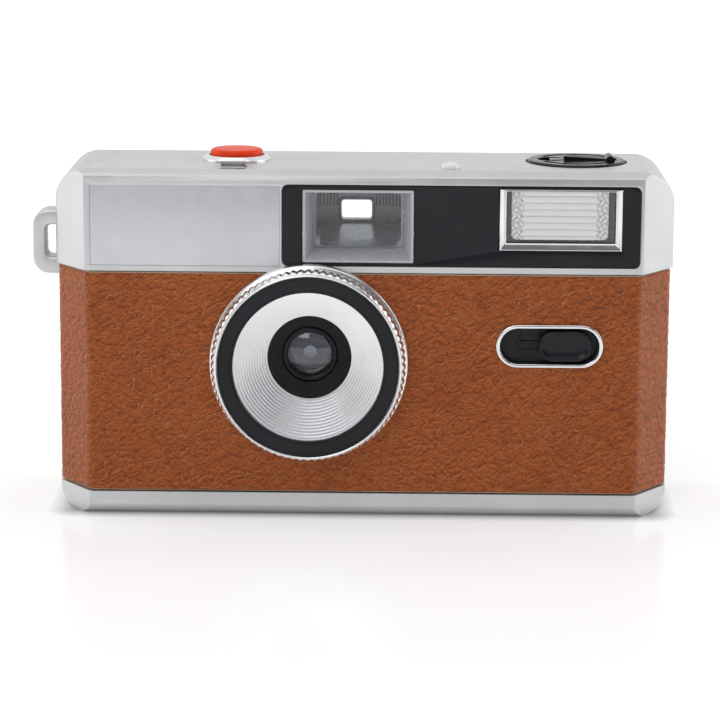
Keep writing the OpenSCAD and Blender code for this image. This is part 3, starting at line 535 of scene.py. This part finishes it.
def rounded_path(points, radii, steps=8):
    """Open or closed path with its inner corners rounded; radius 0 keeps a corner."""
    path = []
    for i, (point, radius) in enumerate(zip(points, radii)):
        here = Vector(point)
        if radius <= 0:
            path.append(here)
            continue
        before = (Vector(points[i - 1]) - here).normalized()
        after = (Vector(points[(i + 1) % len(points)]) - here).normalized()
        half = before.angle(after) / 2
        centre = here + (before + after).normalized() * (radius / math.sin(half))
        first = here + before * (radius / math.tan(half)) - centre
        last = here + after * (radius / math.tan(half)) - centre
        turn = first.angle_signed(last)
        for k in range(steps + 1):
            angle = -turn * k / steps
            c, s = math.cos(angle), math.sin(angle)
            path.append(centre + Vector((first.x * c - first.y * s, first.x * s + first.y * c)))
    return path


def even(path, spacing):
    """Open path resampled at an even spacing: (point, outward normal) on its right-hand side."""
    lengths = [0.0]
    for a, b in zip(path, path[1:]):
        lengths.append(lengths[-1] + (b - a).length)
    count = round(lengths[-1] / spacing)
    out, j = [], 0
    for i in range(count + 1):
        s = lengths[-1] * i / count
        while j < len(path) - 2 and lengths[j + 1] < s:
            j += 1
        a, b = path[j], path[j + 1]
        out.append(a + (b - a) * ((s - lengths[j]) / max(1e-9, lengths[j + 1] - lengths[j])))
    result = []
    for i, point in enumerate(out):
        along = (out[min(i + 1, count)] - out[max(i - 1, 0)]).normalized()
        result.append((point, Vector((along.y, -along.x))))
    return result


# ---------------------------------------------------------------- leatherette

def edge_distance(point):
    """Distance from the nearest cell border of a cellular pattern, in cells."""
    near = noise.voronoi(point)[0]
    return near[1] - near[0]


def soft_step(value, end):
    t = min(1.0, max(0.0, value / end))
    return t * t * (3 - 2 * t)


def creases(point):
    """Height of the leather grain from 0 in a crease to 1 on a pebble, at a point in mm."""
    warped = point + 0.6 * noise.noise_vector(point * 0.4) + 0.18 * noise.noise_vector(point * 1.6)
    pebbles = soft_step(edge_distance(Vector((warped.x * 0.44, warped.y * 0.44, warped.z * 0.66))), 0.16)
    grains = soft_step(edge_distance(Vector((warped.x * 1.0, warped.y * 1.0, warped.z * 1.4))), 0.30)
    # long shallow creases that cross the hide at two slants
    across = warped.x - warped.y
    folds = 1.0
    for lean, shift in ((0.75, 0), (-0.9, 40)):
        slant = Vector((0.10 * (across * lean + warped.z) + shift, 0.0, 0.42 * (warped.z - lean * across)))
        folds = min(folds, soft_step(edge_distance(slant), 0.09))
    fine = 0.5 + 0.5 * noise.noise(point * 2.9)
    return 0.30 * pebbles + 0.24 * grains + 0.32 * folds + 0.14 * fine


def leather_sheet(name, node, path, bottom, top, keep, border, spacing):
    """A leatherette skin along a path round the casing, grain modelled in the mesh. keep(point, z)
    says whether a face is there, border(point, z) is its distance to the cut edge."""
    depth, roll, edge_band, skin = 0.24, 0.25, 0.2, 0.03
    up_step = Vector((0, 0, 0.16))
    columns = even(path, spacing)
    count = round((top - bottom - 2 * edge_band) / spacing)
    rows = [bottom] + [
        bottom + edge_band + (top - bottom - 2 * edge_band) * i / count for i in range(count + 1)
    ] + [top]
    bm = bmesh.new()
    painted_shading = []
    grid = []
    for point, normal in columns:
        line = []
        for z in rows:
            away = border(point, z)
            curl = max(0.0, 1 - away / 0.45) ** 2
            place = Vector((point.x, point.y, z))
            height = creases(place) * (1 - curl)
            slope = creases(place - up_step) - creases(place + up_step)
            inset = skin + depth * (1 - height) + roll * curl
            place = point - normal * inset
            line.append(bm.verts.new(Vector((place.x, place.y, z)) * MM))
            # painted light and shade, 0 dark, 1 light: pebble tops lighter and creases darker, and the upper
            # lip of each pebble painted light as if lit from above
            painted_shading.append(min(1.0, max(0.0, 0.16 + 0.42 * height + 0.95 * slope)))
        grid.append(line)
    for i in range(len(columns) - 1):
        for j in range(len(rows) - 1):
            centre = (columns[i][0] + columns[i + 1][0]) / 2
            z = (rows[j] + rows[j + 1]) / 2
            if keep(centre, z):
                face = bm.faces.new((grid[i][j], grid[i + 1][j], grid[i + 1][j + 1], grid[i][j + 1]))
                face.material_index = 1 if border(centre, z) < 0.15 else 0
    layer = bm.verts.layers.float.new("grain")
    bm.verts.ensure_lookup_table()
    for vertex, value in zip(bm.verts, painted_shading):
        vertex[layer] = value
    loose = [v for v in bm.verts if not v.link_faces]
    bmesh.ops.delete(bm, geom=loose, context="VERTS")
    bm.normal_update()
    # the cut edge, folded back to the shell
    rim = [e for e in bm.edges if e.is_boundary]
    normals = {v: v.normal.copy() for e in rim for v in e.verts}
    new = bmesh.ops.extrude_edge_only(bm, edges=rim)
    pairs = {}
    for face in [g for g in new["geom"] if isinstance(g, bmesh.types.BMFace)]:
        face.material_index = 1
        for edge in face.edges:
            a, b = edge.verts
            if a in normals and b not in normals:
                pairs[b] = a
            elif b in normals and a not in normals:
                pairs[a] = b
    for added, source in pairs.items():
        flat = Vector((normals[source].x, normals[source].y, 0)).normalized()
        added.co -= flat * 0.35 * MM
    obj = smooth_object(bm, name, 70)
    obj.data.materials.append(MATERIALS["leatherette"])
    obj.data.materials.append(MATERIALS["leather_edge"])
    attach(obj, BODY_OF[node])
    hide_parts(node)


def in_stadium(x, z, cx, cz, w, h):
    straight = (w - h) / 2
    dx = max(0.0, abs(x - cx) - straight)
    return math.hypot(dx, z - cz) < h / 2


def make_leather():
    shell_back, latch = 8.4, (1.4, 7.1, 20.6, 34.0)

    def front_keep(point, z):
        if point.y < FRONT_Y + 1:
            if math.hypot(point.x - LENS_X, z - LENS_Z) < 17.6:
                return False
            if in_stadium(point.x, z, SWITCH_X, SWITCH_Z, 18.9, 7.3):
                return False
        if point.x > SIDE_X - 1 and latch[0] < point.y < latch[1] and latch[2] < z < latch[3]:
            return False
        return True

    corners = [
        (-SIDE_X, shell_back), (-SIDE_X, FRONT_Y + BEVEL_D), (-SIDE_X + BEVEL_W, FRONT_Y),
        (SIDE_X - BEVEL_W, FRONT_Y), (SIDE_X, FRONT_Y + BEVEL_D), (SIDE_X, shell_back),
    ]
    bottom, top = BASE_H + 0.2, COVER_Z - 0.22
    leather_sheet(
        "leatherette_front", "leather_front", rounded_path(corners, [0, 3, 2, 2, 3, 0]), bottom, top,
        front_keep, lambda p, z: min(z - bottom, top - z, shell_back - p.y), 0.26,
    )

    hinge_side = 12.4
    corners = [(SIDE_X, shell_back + 0.4), (SIDE_X, REAR_Y), (-SIDE_X, REAR_Y), (-SIDE_X, hinge_side)]
    low, high = DOOR_TOP_LOW, DOOR_TOP_HIGH
    bottom = BASE_H + 0.3

    def back_border(p, z):
        rear_top = high if p.x > DOOR_STEP_X else low
        side = p.y - hinge_side if p.x < 0 else p.y - shell_back - 0.4
        step = p.x - DOOR_STEP_X if z > low and p.x > DOOR_STEP_X else 99
        return max(0.0, min(z - bottom, rear_top - z, side if p.y < REAR_Y - 0.5 else 99, step))

    leather_sheet(
        "leatherette_back", "leather_back", rounded_path(corners, [0, 5, 5, 0]), bottom, high,
        lambda p, z: z < low or p.x > DOOR_STEP_X, back_border, 0.4,
    )


# ---------------------------------------------------------------- lens

def make_lens():
    front = FRONT_Y - 5.2
    centre = (LENS_X, LENS_Z)
    beads, per_bead = 80, 8

    def knurl(r, y, angle):
        """Rows of half-round beads round the waist of the barrel."""
        band = max(0.0, 1 - abs(y + 19.1) / 1.5)
        swell = 0.5 + 0.5 * math.cos(angle * beads)
        return r - (0.30 * (1 - swell) ** 2 * min(1, band * 2.5) if r > 17 else 0)

    profile = [
        (15.2, FRONT_Y + 3.2), (15.2, front + 0.8), (16.75, front + 0.8), (16.78, front + 0.1),
        (16.9, front), (17.08, front), (17.22, front + 0.12), (17.26, front + 0.35), (17.2, front + 0.5),
        (17.3, front + 0.62),
    ]
    profile += [(17.4 + 0.5 * math.sin(math.pi * t / 12) ** 0.6, -20.5 + 3.0 * t / 12) for t in range(13)]
    profile += [
        (17.55, -17.4), (18.0, -17.35), (18.22, -17.2), (18.4, -16.6), (18.4, -16.0), (16.2, -16.0),
        (16.2, -12.8),
    ]
    lathe("lens_barrel_knurled", profile, centre, "Y", "lens_barrel", beads * per_bead, ripple=knurl, angle=50)

    plate = [
        (16.66, front + 0.74), (13.8, front + 0.74), (13.8, front + 0.36), (13.92, front + 0.24),
        (14.2, front + 0.22), (14.24, front + 0.27), (14.3, front + 0.27), (14.34, front + 0.22),
        (16.26, front + 0.22), (16.3, front + 0.27), (16.36, front + 0.27), (16.4, front + 0.22),
        (16.6, front + 0.22), (16.68, front + 0.3),
    ]
    lathe("lens_ring", plate, centre, "Y", "lens_ring_plate", 160)

    steps, r0, r1, y0, y1 = 13, 13.75, 7.8, front + 0.8, FRONT_Y + 4.6
    dr, dy = (r0 - r1) / steps, (y1 - y0) / steps
    funnel = []
    for i in range(steps):
        r = r0 + (r1 - r0) * i / steps
        y = y0 + (y1 - y0) * i / steps
        funnel += [(r, y + 0.02), (r, y + dy * 0.72)]
        funnel += [(r - dr * 0.12, y + dy * 0.9), (r - dr * 0.8, y + dy * 0.97), (r - dr * 0.94, y + dy)]
    funnel += [(r1, y1), (r1 + 1.4, y1), (15.1, y0 + 2.2), (15.1, y0 + 0.02)]
    lathe("lens_funnel_stepped", funnel, centre, "Y", "lens_funnel", 160, angle=42)

    mount = []
    for i in range(9):
        r = 7.78 - 0.27 * i
        y = y1 + 0.1 + 0.3 * i
        mount += [(r, y), (r, y + 0.22), (r - 0.1, y + 0.3)]
    mount += [
        (5.3, -8.62), (5.3, -7.82), (4.52, -7.82), (4.52, -3.9), (3.62, -3.9), (3.62, -3.17),
        (9.58, -3.17), (9.58, y1 + 1.2), (9.1, y1 + 0.12),
    ]
    lathe("lens_mount_stepped", mount, centre, "Y", "lens_mount", 128, angle=30)

    ring = [
        (4.12, -7.87), (4.12, -8.2), (4.3, -8.42), (4.55, -8.49), (4.9, -8.49), (5.12, -8.38),
        (5.18, -8.2), (5.18, -7.87),
    ]
    lathe("lens_retainer", ring, centre, "Y", "lens_retaining_ring", 96, angle=50)

    dome = [(4.38 * t / 10, -7.6 - 0.88 * (1 - (t / 10) ** 2)) for t in range(11)]
    rear = [(4.38, -6.28), (0.0, -6.28)]
    lathe("front_element", dome + rear, centre, "Y", "front_lens", 64, angle=40)


# ---------------------------------------------------------------- lofted frames

def box_loop(x0, z0, x1, z1, y, radius=0.0, steps=3):
    """Rectangle facing the front at depth y, counter-clockwise, with rounded corners."""
    radius = max(radius, 0.0001)
    points = []
    for cx, cz, start in ((x1 - radius, z1 - radius, 0), (x0 + radius, z1 - radius, 90),
                          (x0 + radius, z0 + radius, 180), (x1 - radius, z0 + radius, 270)):
        points += [(px, y, pz) for px, pz in arc(cx, cz, radius, start, start + 90, steps)]
    return points


def plate(name, node, outer, holes, front, back, edge, **kwargs):
    """Flat plate across Y with its front edges rounded by edge. outer and each hole are
    (x0, z0, x1, z1, corner radius)."""
    bm = bmesh.new()
    ends = ([], [])
    for outline, side in [(outer, 1)] + [(hole, -1) for hole in holes]:
        x0, z0, x1, z1, radius = outline
        rings = [box_loop(x0, z0, x1, z1, back, radius)]
        for k in range(4):
            turn = math.pi / 2 * k / 3
            d = side * edge * (1 - math.cos(turn))
            y = front + edge * (1 - math.sin(turn))
            rings.append(box_loop(x0 + d, z0 + d, x1 - d, z1 - d, y, max(0.03, radius - d)))
        rings = [[bm.verts.new(Vector(p) * MM) for p in ring] for ring in rings]
        count = len(rings[0])
        for a, b in zip(rings, rings[1:]):
            for i in range(count):
                bm.faces.new((a[i], a[(i + 1) % count], b[(i + 1) % count], b[i]))
        for end, ring in zip(ends, (rings[0], rings[-1])):
            end += [bm.edges.get((ring[i], ring[(i + 1) % count])) for i in range(count)]
    for end in ends:
        bmesh.ops.triangle_fill(bm, use_beauty=True, edges=end, normal=(0, -1, 0))
    return finish_mesh(bm, name, node, angle=50, **kwargs)


def make_front_plates():
    front = FRONT_Y + 0.1
    plate("front_badge_plate", "name_plate", (-50.1, 47.0, -15.35, 61.8, 0.1), [], front, front + 0.6, 0.1)
    plate("front_window_panel", "window_panel", (-14.95, 47.2, 50.5, 62.1, 1.1),
          [(-11.3, 47.7, 9.2, 61.3, 0.1), (24.7, 50.2, 47.2, 61.7, 0.1)], front, front + 0.65, 0.2)


def stadium_loop(x, z, w, h, y, steps=14):
    half = (w - h) / 2
    points = [(px, y, pz) for px, pz in arc(x + half, z, h / 2, -90, 90, steps)]
    return points + [(px, y, pz) for px, pz in arc(x - half, z, h / 2, 90, 270, steps)]


def loft(name, loops, node, closed=True, angle=35, **kwargs):
    """Skins loops of the same number of points; closed joins the last to the first,
    otherwise both ends are capped."""
    bm = bmesh.new()
    rings = [[bm.verts.new(Vector(p) * MM) for p in loop] for loop in loops]
    pairs = list(zip(rings, rings[1:]))
    if closed:
        pairs.append((rings[-1], rings[0]))
    for a, b in pairs:
        for i in range(len(a)):
            k = (i + 1) % len(a)
            bm.faces.new((a[i], a[k], b[k], b[i]))
    if not closed:
        bm.faces.new(rings[0])
        bm.faces.new(rings[-1])
    bmesh.ops.remove_doubles(bm, verts=bm.verts, dist=0.000002)
    return finish_mesh(bm, name, node, angle=angle, **kwargs)


def make_finder():
    """Hood: splayed mouth, box with an almost level floor, ribbed rear wall with the eye mask."""
    x, z = -1.05, 54.5
    left, right = x - 7.95, x + 7.85
    loops = [
        box_loop(x - 10.15, z - 6.7, x + 10.15, z + 6.7, -15.0, 0.2),
        box_loop(x - 10.15, z - 6.7, x + 10.15, z + 6.7, -15.82, 0.2),
        box_loop(x - 10.0, z - 6.55, x + 10.0, z + 6.55, -15.97, 0.2),
        box_loop(x - 9.75, z - 6.3, x + 9.75, z + 6.3, -15.97, 0.2),
        box_loop(x - 9.62, z - 6.2, x + 9.62, z + 6.2, -15.85, 0.2),
        box_loop(x - 8.2, 49.85, x + 8.1, 60.55, -12.05, 0.2),
        box_loop(x - 8.2, 49.85, x + 8.1, 60.55, -10.65, 0.2),
        box_loop(left, 50.05, right, 60.4, -10.6, 1.6),
        box_loop(left, 51.35, right, 60.4, 10.7, 1.2),
        box_loop(-5.2, 51.5, 1.8, 56.15, 10.75, 0.7),
        box_loop(-4.9, 51.65, 1.5, 55.85, 10.35, 0.7),
        box_loop(-4.6, 51.8, 1.2, 55.6, 10.35, 0.6),
        box_loop(-4.6, 51.8, 1.2, 55.6, 12.9, 0.6),
        box_loop(-5.8, 50.8, 2.4, 57.0, 12.92, 0.6),
        box_loop(-5.8, 50.8, 2.4, 57.0, 14.2, 0.6),
        box_loop(-7.1, 49.8, 3.7, 58.0, 14.2, 0.6),
        box_loop(-7.1, 49.8, 3.7, 58.0, 12.2, 0.6),
        box_loop(-10.35, 48.9, 8.25, 61.5, 12.2, 0.6),
        box_loop(-10.35, 48.9, 8.25, 61.5, -11.5, 0.6),
    ]
    loft("viewfinder_hood", loops, "finder_hood", angle=28)
    # light-trap ribs on the rear wall, either side of the mask
    bm = bmesh.new()
    pitch, width, height = 0.62, 0.34, 0.45
    z0, z1 = 54.4, 60.0
    front, back = 10.75 - height, 10.75
    for x0, x1 in ((left + 0.35, -5.4), (2.1, right - 0.35)):
        count = int((x1 - x0) / pitch)
        for i in range(count + 1):
            rib = x0 + i * (x1 - x0) / count
            corners = [(rib - width / 2, back), (rib, front), (rib + width / 2, back)]
            prism(bm, [(*corner, z0) for corner in corners], [(*corner, z1) for corner in corners])
    finish_mesh(bm, "viewfinder_ribs", material=SLOT_OF["finder_hood"], body="root", angle=20)


def make_flash():
    x0, z0, x1, z1 = 24.8, 50.3, 47.1, 61.6
    loops = [
        box_loop(x0, z0, x1, z1, -14.5, 0.12),
        box_loop(x0, z0, x1, z1, -15.95, 0.12),
        box_loop(x0 + 0.12, z0 + 0.12, x1 - 0.12, z1 - 0.08, -16.08, 0.12),
        box_loop(x0 + 0.3, z0 + 0.32, x1 - 0.3, z1 - 0.12, -16.08, 0.12),
        box_loop(x0 + 0.98, z0 + 1.18, x1 - 0.98, z1 - 0.3, -15.62, 0.12),
        box_loop(x0 + 1.02, z0 + 1.24, x1 - 1.02, z1 - 0.32, -15.9, 0.12),
        box_loop(x0 + 1.15, z0 + 1.38, x1 - 1.15, z1 - 0.38, -15.9, 0.12),
        box_loop(x0 + 1.18, z0 + 1.4, x1 - 1.18, z1 - 0.4, -14.5, 0.12),
    ]
    loft("flash_bezel", loops, "flash_frame", angle=25)

    # ribbed window: a raised block in a dark channel, ribs across it and small prisms at its ends
    wx0, wz0, wx1, wz1 = 26.05, 51.75, 45.85, 61.15
    columns, rows = 150, 110
    rib_pitch, prism = 1.22, 0.95
    bm = bmesh.new()
    clear = bm.verts.layers.float.new("clear")
    front, back = [], []
    for i in range(columns + 1):
        x = wx0 + (wx1 - wx0) * i / columns
        line = []
        for j in range(rows + 1):
            z = wz0 + (wz1 - wz0) * j / rows
            rib = abs(math.sin(math.pi * (z - wz0) / rib_pitch)) ** 0.75
            prisms = abs(math.sin(math.pi * (x + 0.35 * math.sin(2.3 * z)) / prism))
            prisms *= abs(math.sin(math.pi * (z + 0.4 * math.sin(3.1 * x)) / prism))
            ends = min(1.0, max(0.0, (abs(x - 35.8) - 6.5) / 0.3))
            # distance outside the block, whose lower corners are round
            dx, dz = abs(x - 35.8) - 8.0, 53.15 - z
            border = math.hypot(max(dx, 0), max(dz, 0)) - 1.0
            block = min(1.0, max(0.0, -border / 0.2))
            height = block * (0.75 - 0.3 * ((1 - ends) * (1 - rib) + ends * (1 - prisms)))
            vert = bm.verts.new(Vector((x, -15.0 - height, z)) * MM)
            # painted light: ribs and end prisms painted bright, and everything off the raised block painted
            # darker as shade
            bright = (1 - ends) * (0.55 + 0.45 * min(1.0, 1.5 * rib)) + ends * (0.25 + 0.9 * prisms ** 0.6)
            vert[clear] = bright * (1.0 if block > 0.9 else 0.45)
            line.append(vert)
        front.append(line)
        back.append([bm.verts.new(Vector((x, -14.5, z)) * MM) for z in (wz0, wz1)])
    for i in range(columns):
        for j in range(rows):
            face = bm.faces.new((front[i][j], front[i + 1][j], front[i + 1][j + 1], front[i][j + 1]))
            face.material_index = int(max(v.co.y for v in face.verts) > -0.01504)
        bm.faces.new((back[i][0], back[i][1], back[i + 1][1], back[i + 1][0]))
        bm.faces.new((front[i][0], back[i][0], back[i + 1][0], front[i + 1][0]))
        bm.faces.new((front[i][rows], front[i + 1][rows], back[i + 1][1], back[i][1]))
    for i in (0, columns):
        bm.faces.new(front[i] + [back[i][1], back[i][0]])
    window = finish_mesh(bm, "flash_window_ribbed", "flash_window", material="ribbed_window", angle=30)
    window.data.materials.append(MATERIALS["channel_grey"])

    # xenon tube: a rod along X with a thinner electrode at each end
    tube = [
        (0.0, 23.65), (0.55, 23.65), (0.6, 24.3), (1.0, 24.4), (1.22, 24.9), (1.22, 47.0), (1.0, 47.5),
        (0.6, 47.6), (0.55, 48.15), (0.0, 48.15),
    ]
    sides = 24
    turns = [math.tau * k / sides for k in range(sides)]
    bm = bmesh.new()
    rings = [
        [bm.verts.new(Vector((x, -12 + r * math.cos(t), 56.7 + r * math.sin(t))) * MM) for t in turns]
        for r, x in tube
    ]
    for a, b in zip(rings, rings[1:]):
        for k in range(sides):
            m = (k + 1) % sides
            bm.faces.new((a[k], a[m], b[m], b[k]))
    bmesh.ops.remove_doubles(bm, verts=bm.verts, dist=1e-7)
    finish_mesh(bm, "flash_lamp", "flash_tube", angle=40)


def make_switch():
    x, z = SWITCH_X, SWITCH_Z
    loops = [
        stadium_loop(x, z, 19.8, 8.1, -16.0), stadium_loop(x, z, 19.78, 8.08, -16.3),
        stadium_loop(x, z, 19.6, 7.9, -16.52), stadium_loop(x, z, 19.3, 7.62, -16.59),
        stadium_loop(x, z, 18.6, 6.98, -16.59), stadium_loop(x, z, 18.3, 6.7, -16.5),
        stadium_loop(x, z, 18.14, 6.54, -16.3), stadium_loop(x, z, 18.14, 6.54, -16.0),
    ]
    loft("switch_surround", loops, "switch_bezel", angle=50)
    refine("switch_track", "switch_slot", 0.00015)
    # flash symbol moulded into the floor of the slot
    bolt = [
        (28.95, 34.6), (28.05, 32.85), (28.85, 32.85), (28.35, 31.5), (29.55, 33.35), (28.8, 33.35),
        (29.35, 34.6),
    ]
    bm = bmesh.new()
    prism(bm, *([(px, y, pz) for px, pz in bolt] for y in (-14.78, -15.0)))
    bevelled(finish_mesh(bm, "flash_symbol", material=SLOT_OF["switch_track"], body="root"), 0.00005)
    # felt in the slot that the knob's stem runs through
    felt = [box_loop(28.95, 31.85, 38.85, 33.35, y, 0.1) for y in (-14.74, -14.3)]
    loft("switch_felt", felt, None, closed=False, material="black_matte", body="root")

    kx, w, h = 37.1, 10.0, 5.7
    knob = [
        stadium_loop(kx, z, w - 0.02, h - 0.02, -15.08),
        stadium_loop(kx, z, w, h, -16.2), stadium_loop(kx, z, w - 0.12, h - 0.12, -16.55),
        stadium_loop(kx, z, w - 0.5, h - 0.5, -16.82), stadium_loop(kx, z, w - 0.95, h - 0.95, -16.89),
        stadium_loop(kx, z, w - 1.35, h - 1.35, -16.82), stadium_loop(kx, z, w - 1.8, h - 1.8, -16.62),
        stadium_loop(kx, z, w - 2.6, h - 2.6, -16.52), stadium_loop(kx, z, w - 4.2, h - 4.2, -16.46),
    ]
    loft("switch_slider", knob, "switch_knob", closed=False, angle=50)


def make_top_controls():
    bx, by = -24.1, 1.0
    cap = [(0.0, 64.92), (4.8, 64.92), (4.93, 65.05), (4.94, 65.8)]
    cap += arc(4.2, 65.85, 0.74, 15, 90, 5)
    cap += [(3.2, 66.66), (2.0, 66.76), (0.9, 66.82), (0.0, 66.84)]
    lathe("shutter_button_cap", cap, (bx, by), "Z", "shutter_button", 96, angle=50)
    for name, place, radius, foot in (
        ("shutter_button_stem", (bx + 2.9, by - 2.5), 1.0, 51.2), ("shutter_button_guide", (bx, by), 0.9, 63.2),
    ):
        rod = [(0.0, foot), (radius, foot), (radius, 64.95), (0.0, 64.95)]
        lathe(name, rod, place, "Z", None, 24, material=SLOT_OF["shutter_button"], body="button_body")
    refine("button_collar", "shutter_collar", 0.00018, 3)
    refine("counter_window", "counter_magnifier", 0.00015, 2)
    refine("ready_lamp", "flash_ready_lamp", 0.0001, 2)


def make_counter_marks():
    """Tick marks and every fourth frame number round the counter dial."""
    cx, cy, top, radius, ring = -28.5, -8.0, 62.4, 6.2, 4.1
    bm = bmesh.new()
    total = 40
    for i in range(total):
        angle = math.tau * i / total
        long = 0.9 if i % 4 == 0 else 0.5
        u = Vector((math.cos(angle), math.sin(angle), 0))
        v = Vector((-u.y, u.x, 0))
        centre = Vector((cx, cy, top)) + u * (radius - 0.25 - long / 2)
        corners = [centre + u * a * long / 2 + v * b * 0.08 for a, b in ((1, 1), (-1, 1), (-1, -1), (1, -1))]
        prism(bm, *([c + Vector((0, 0, rise)) for c in corners] for rise in (-0.02, 0.03)))
    finish_mesh(bm, "counter_ticks", material="black_matte", body="counter_body")
    for i in range(0, total, 4):
        angle = math.tau * i / total
        text = bpy.data.curves.new(f"frame_number_{i:02d}", "FONT")
        text.body = str(i)
        text.size = 1.35 * MM
        text.align_x, text.align_y = "CENTER", "CENTER"
        text.extrude = 0.03 * MM
        text.resolution_u = 3
        holder = in_scene("number_text", text)
        bpy.context.view_layer.update()
        mesh = bpy.data.meshes.new_from_object(holder.evaluated_get(bpy.context.evaluated_depsgraph_get()))
        bpy.data.objects.remove(holder)
        obj = in_scene(f"counter_number_{i:02d}", mesh)
        place = Vector((cx + ring * math.cos(angle), cy + ring * math.sin(angle), top + 0.02)) * MM
        mesh.transform(Matrix.Translation(place) @ Matrix.Rotation(angle - math.pi / 2, 4, "Z"))
        mesh.materials.clear()
        mesh.materials.append(MATERIALS["black_matte"])
        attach(obj, "counter_body")


def make_strap_ring():
    """Loop of the strap lug: a rounded section swept from the casing's side and back to it."""
    outer = rounded_path([(-57, 55.5), (-62, 55.5), (-62, 43.4), (-57, 43.4)], [0, 3, 3, 0])
    inner = rounded_path([(-57, 52.6), (-59.6, 52.6), (-59.6, 46.6), (-57, 46.6)], [0, 1, 1, 0])
    edge, back = 0.5, 5.0
    sections = []
    for a, b in zip(outer, inner):
        across = b - a
        far, deep = across.length - edge, back - edge
        section = []
        for cu, cv, start in ((far, deep, 0), (edge, deep, 90), (edge, edge, 180), (far, edge, 270)):
            for u, v in arc(cu, cv, edge, start, start + 90, 3):
                here = a + across * (u / across.length)
                section.append((here.x, v - 4.5, here.y))
        sections.append(section)
    loft("strap_ring", sections, "strap_lug", closed=False, angle=50)


def make_refined():
    """CAD nodes that keep their shape and get rounded edges."""
    for node, name, width in (
        ("top_cover", "top_housing", 0.00025), ("bottom_cover", "bottom_housing", 0.0002),
        ("front_shell", "shell", 0.00015), ("back_door", "door_panel", 0.00015),
        ("eyepiece_frame", "eyepiece_surround", 0.0003), ("rewind_knob", "rewind_dial", 0.00015),
        ("crank_arm", "rewind_crank", 0.00018), ("advance_wheel", "advance_thumbwheel", 0.00008),
        ("door_latch", "door_latch_slider", 0.00015),
        ("battery_door", "battery_lid", 0.00015), ("flash_reflector", "flash_mirror", 0.00008),
    ):
        refine(node, name, width, 3)


def dress_cad_nodes():
    """Finish of the CAD nodes that are shown as they are."""
    for node, obj in frame["nodes"].items():
        if obj.hide_render:
            continue
        obj.data.materials.clear()
        obj.data.materials.append(MATERIALS[SLOT_OF[node]])


def make_floor():
    """Pale floor that brightens away from the camera, so that it meets the white backdrop."""
    shader = Shader("studio_floor")
    slow = shader.noise(2.0, 2)
    pale = shader.ramp(slow, [(0.3, (0.72, 0.72, 0.72)), (0.7, (0.74, 0.74, 0.74))])
    # painted shadow close to the camera's base
    inside = shader.add("ShaderNodeVectorMath", operation="ABSOLUTE")
    shader.link(shader.coords, inside.inputs[0])
    outside = shader.add("ShaderNodeVectorMath", operation="SUBTRACT")
    shader.link(inside.outputs[0], outside.inputs[0])
    outside.inputs[1].default_value = (0.0530, 0.0125, 0.0)
    clipped = shader.add("ShaderNodeVectorMath", operation="MAXIMUM")
    shader.link(outside.outputs[0], clipped.inputs[0])
    away = shader.add("ShaderNodeVectorMath", operation="LENGTH")
    shader.link(clipped.outputs[0], away.inputs[0])
    shade = shader.range(away.outputs["Value"], 0.85, 0.0, 0.0, 0.006)
    shader.colour(shader.mix(shade, pale, (0.10, 0.10, 0.105)))
    shader.set(Roughness=0.16, Specular_IOR_Level=0.09, Emission_Color=(1, 1, 1, 1))
    length = shader.add("ShaderNodeVectorMath", operation="LENGTH")
    shader.link(shader.coords, length.inputs[0])
    glow = shader.range(length.outputs["Value"], 0.34, 0.66, 0.10, 0.50)
    # the glow is dimmed close to the base as well, part of the painted shadow
    near = shader.range(away.outputs["Value"], 0.1, 1.0, 0.0, 0.006)
    glow = shader.multiply(glow, near)
    shader.link(glow, shader.bsdf.inputs["Emission Strength"])
    bm = bmesh.new()
    size = 6.0
    corners = [(-size, -size, 0), (size, -size, 0), (size, size, 0), (-size, size, 0)]
    bm.faces.new([bm.verts.new(c) for c in corners])
    mesh = bpy.data.meshes.new("studio_floor")
    bm.to_mesh(mesh)
    bm.free()
    floor = in_scene("studio_floor", mesh)
    mesh.materials.append(shader.material)


make_camera()
make_studio()
make_leather()
make_lens()
make_finder()
make_flash()
make_switch()
make_top_controls()
make_counter_marks()
make_strap_ring()
make_front_plates()
make_refined()
dress_cad_nodes()
make_floor()
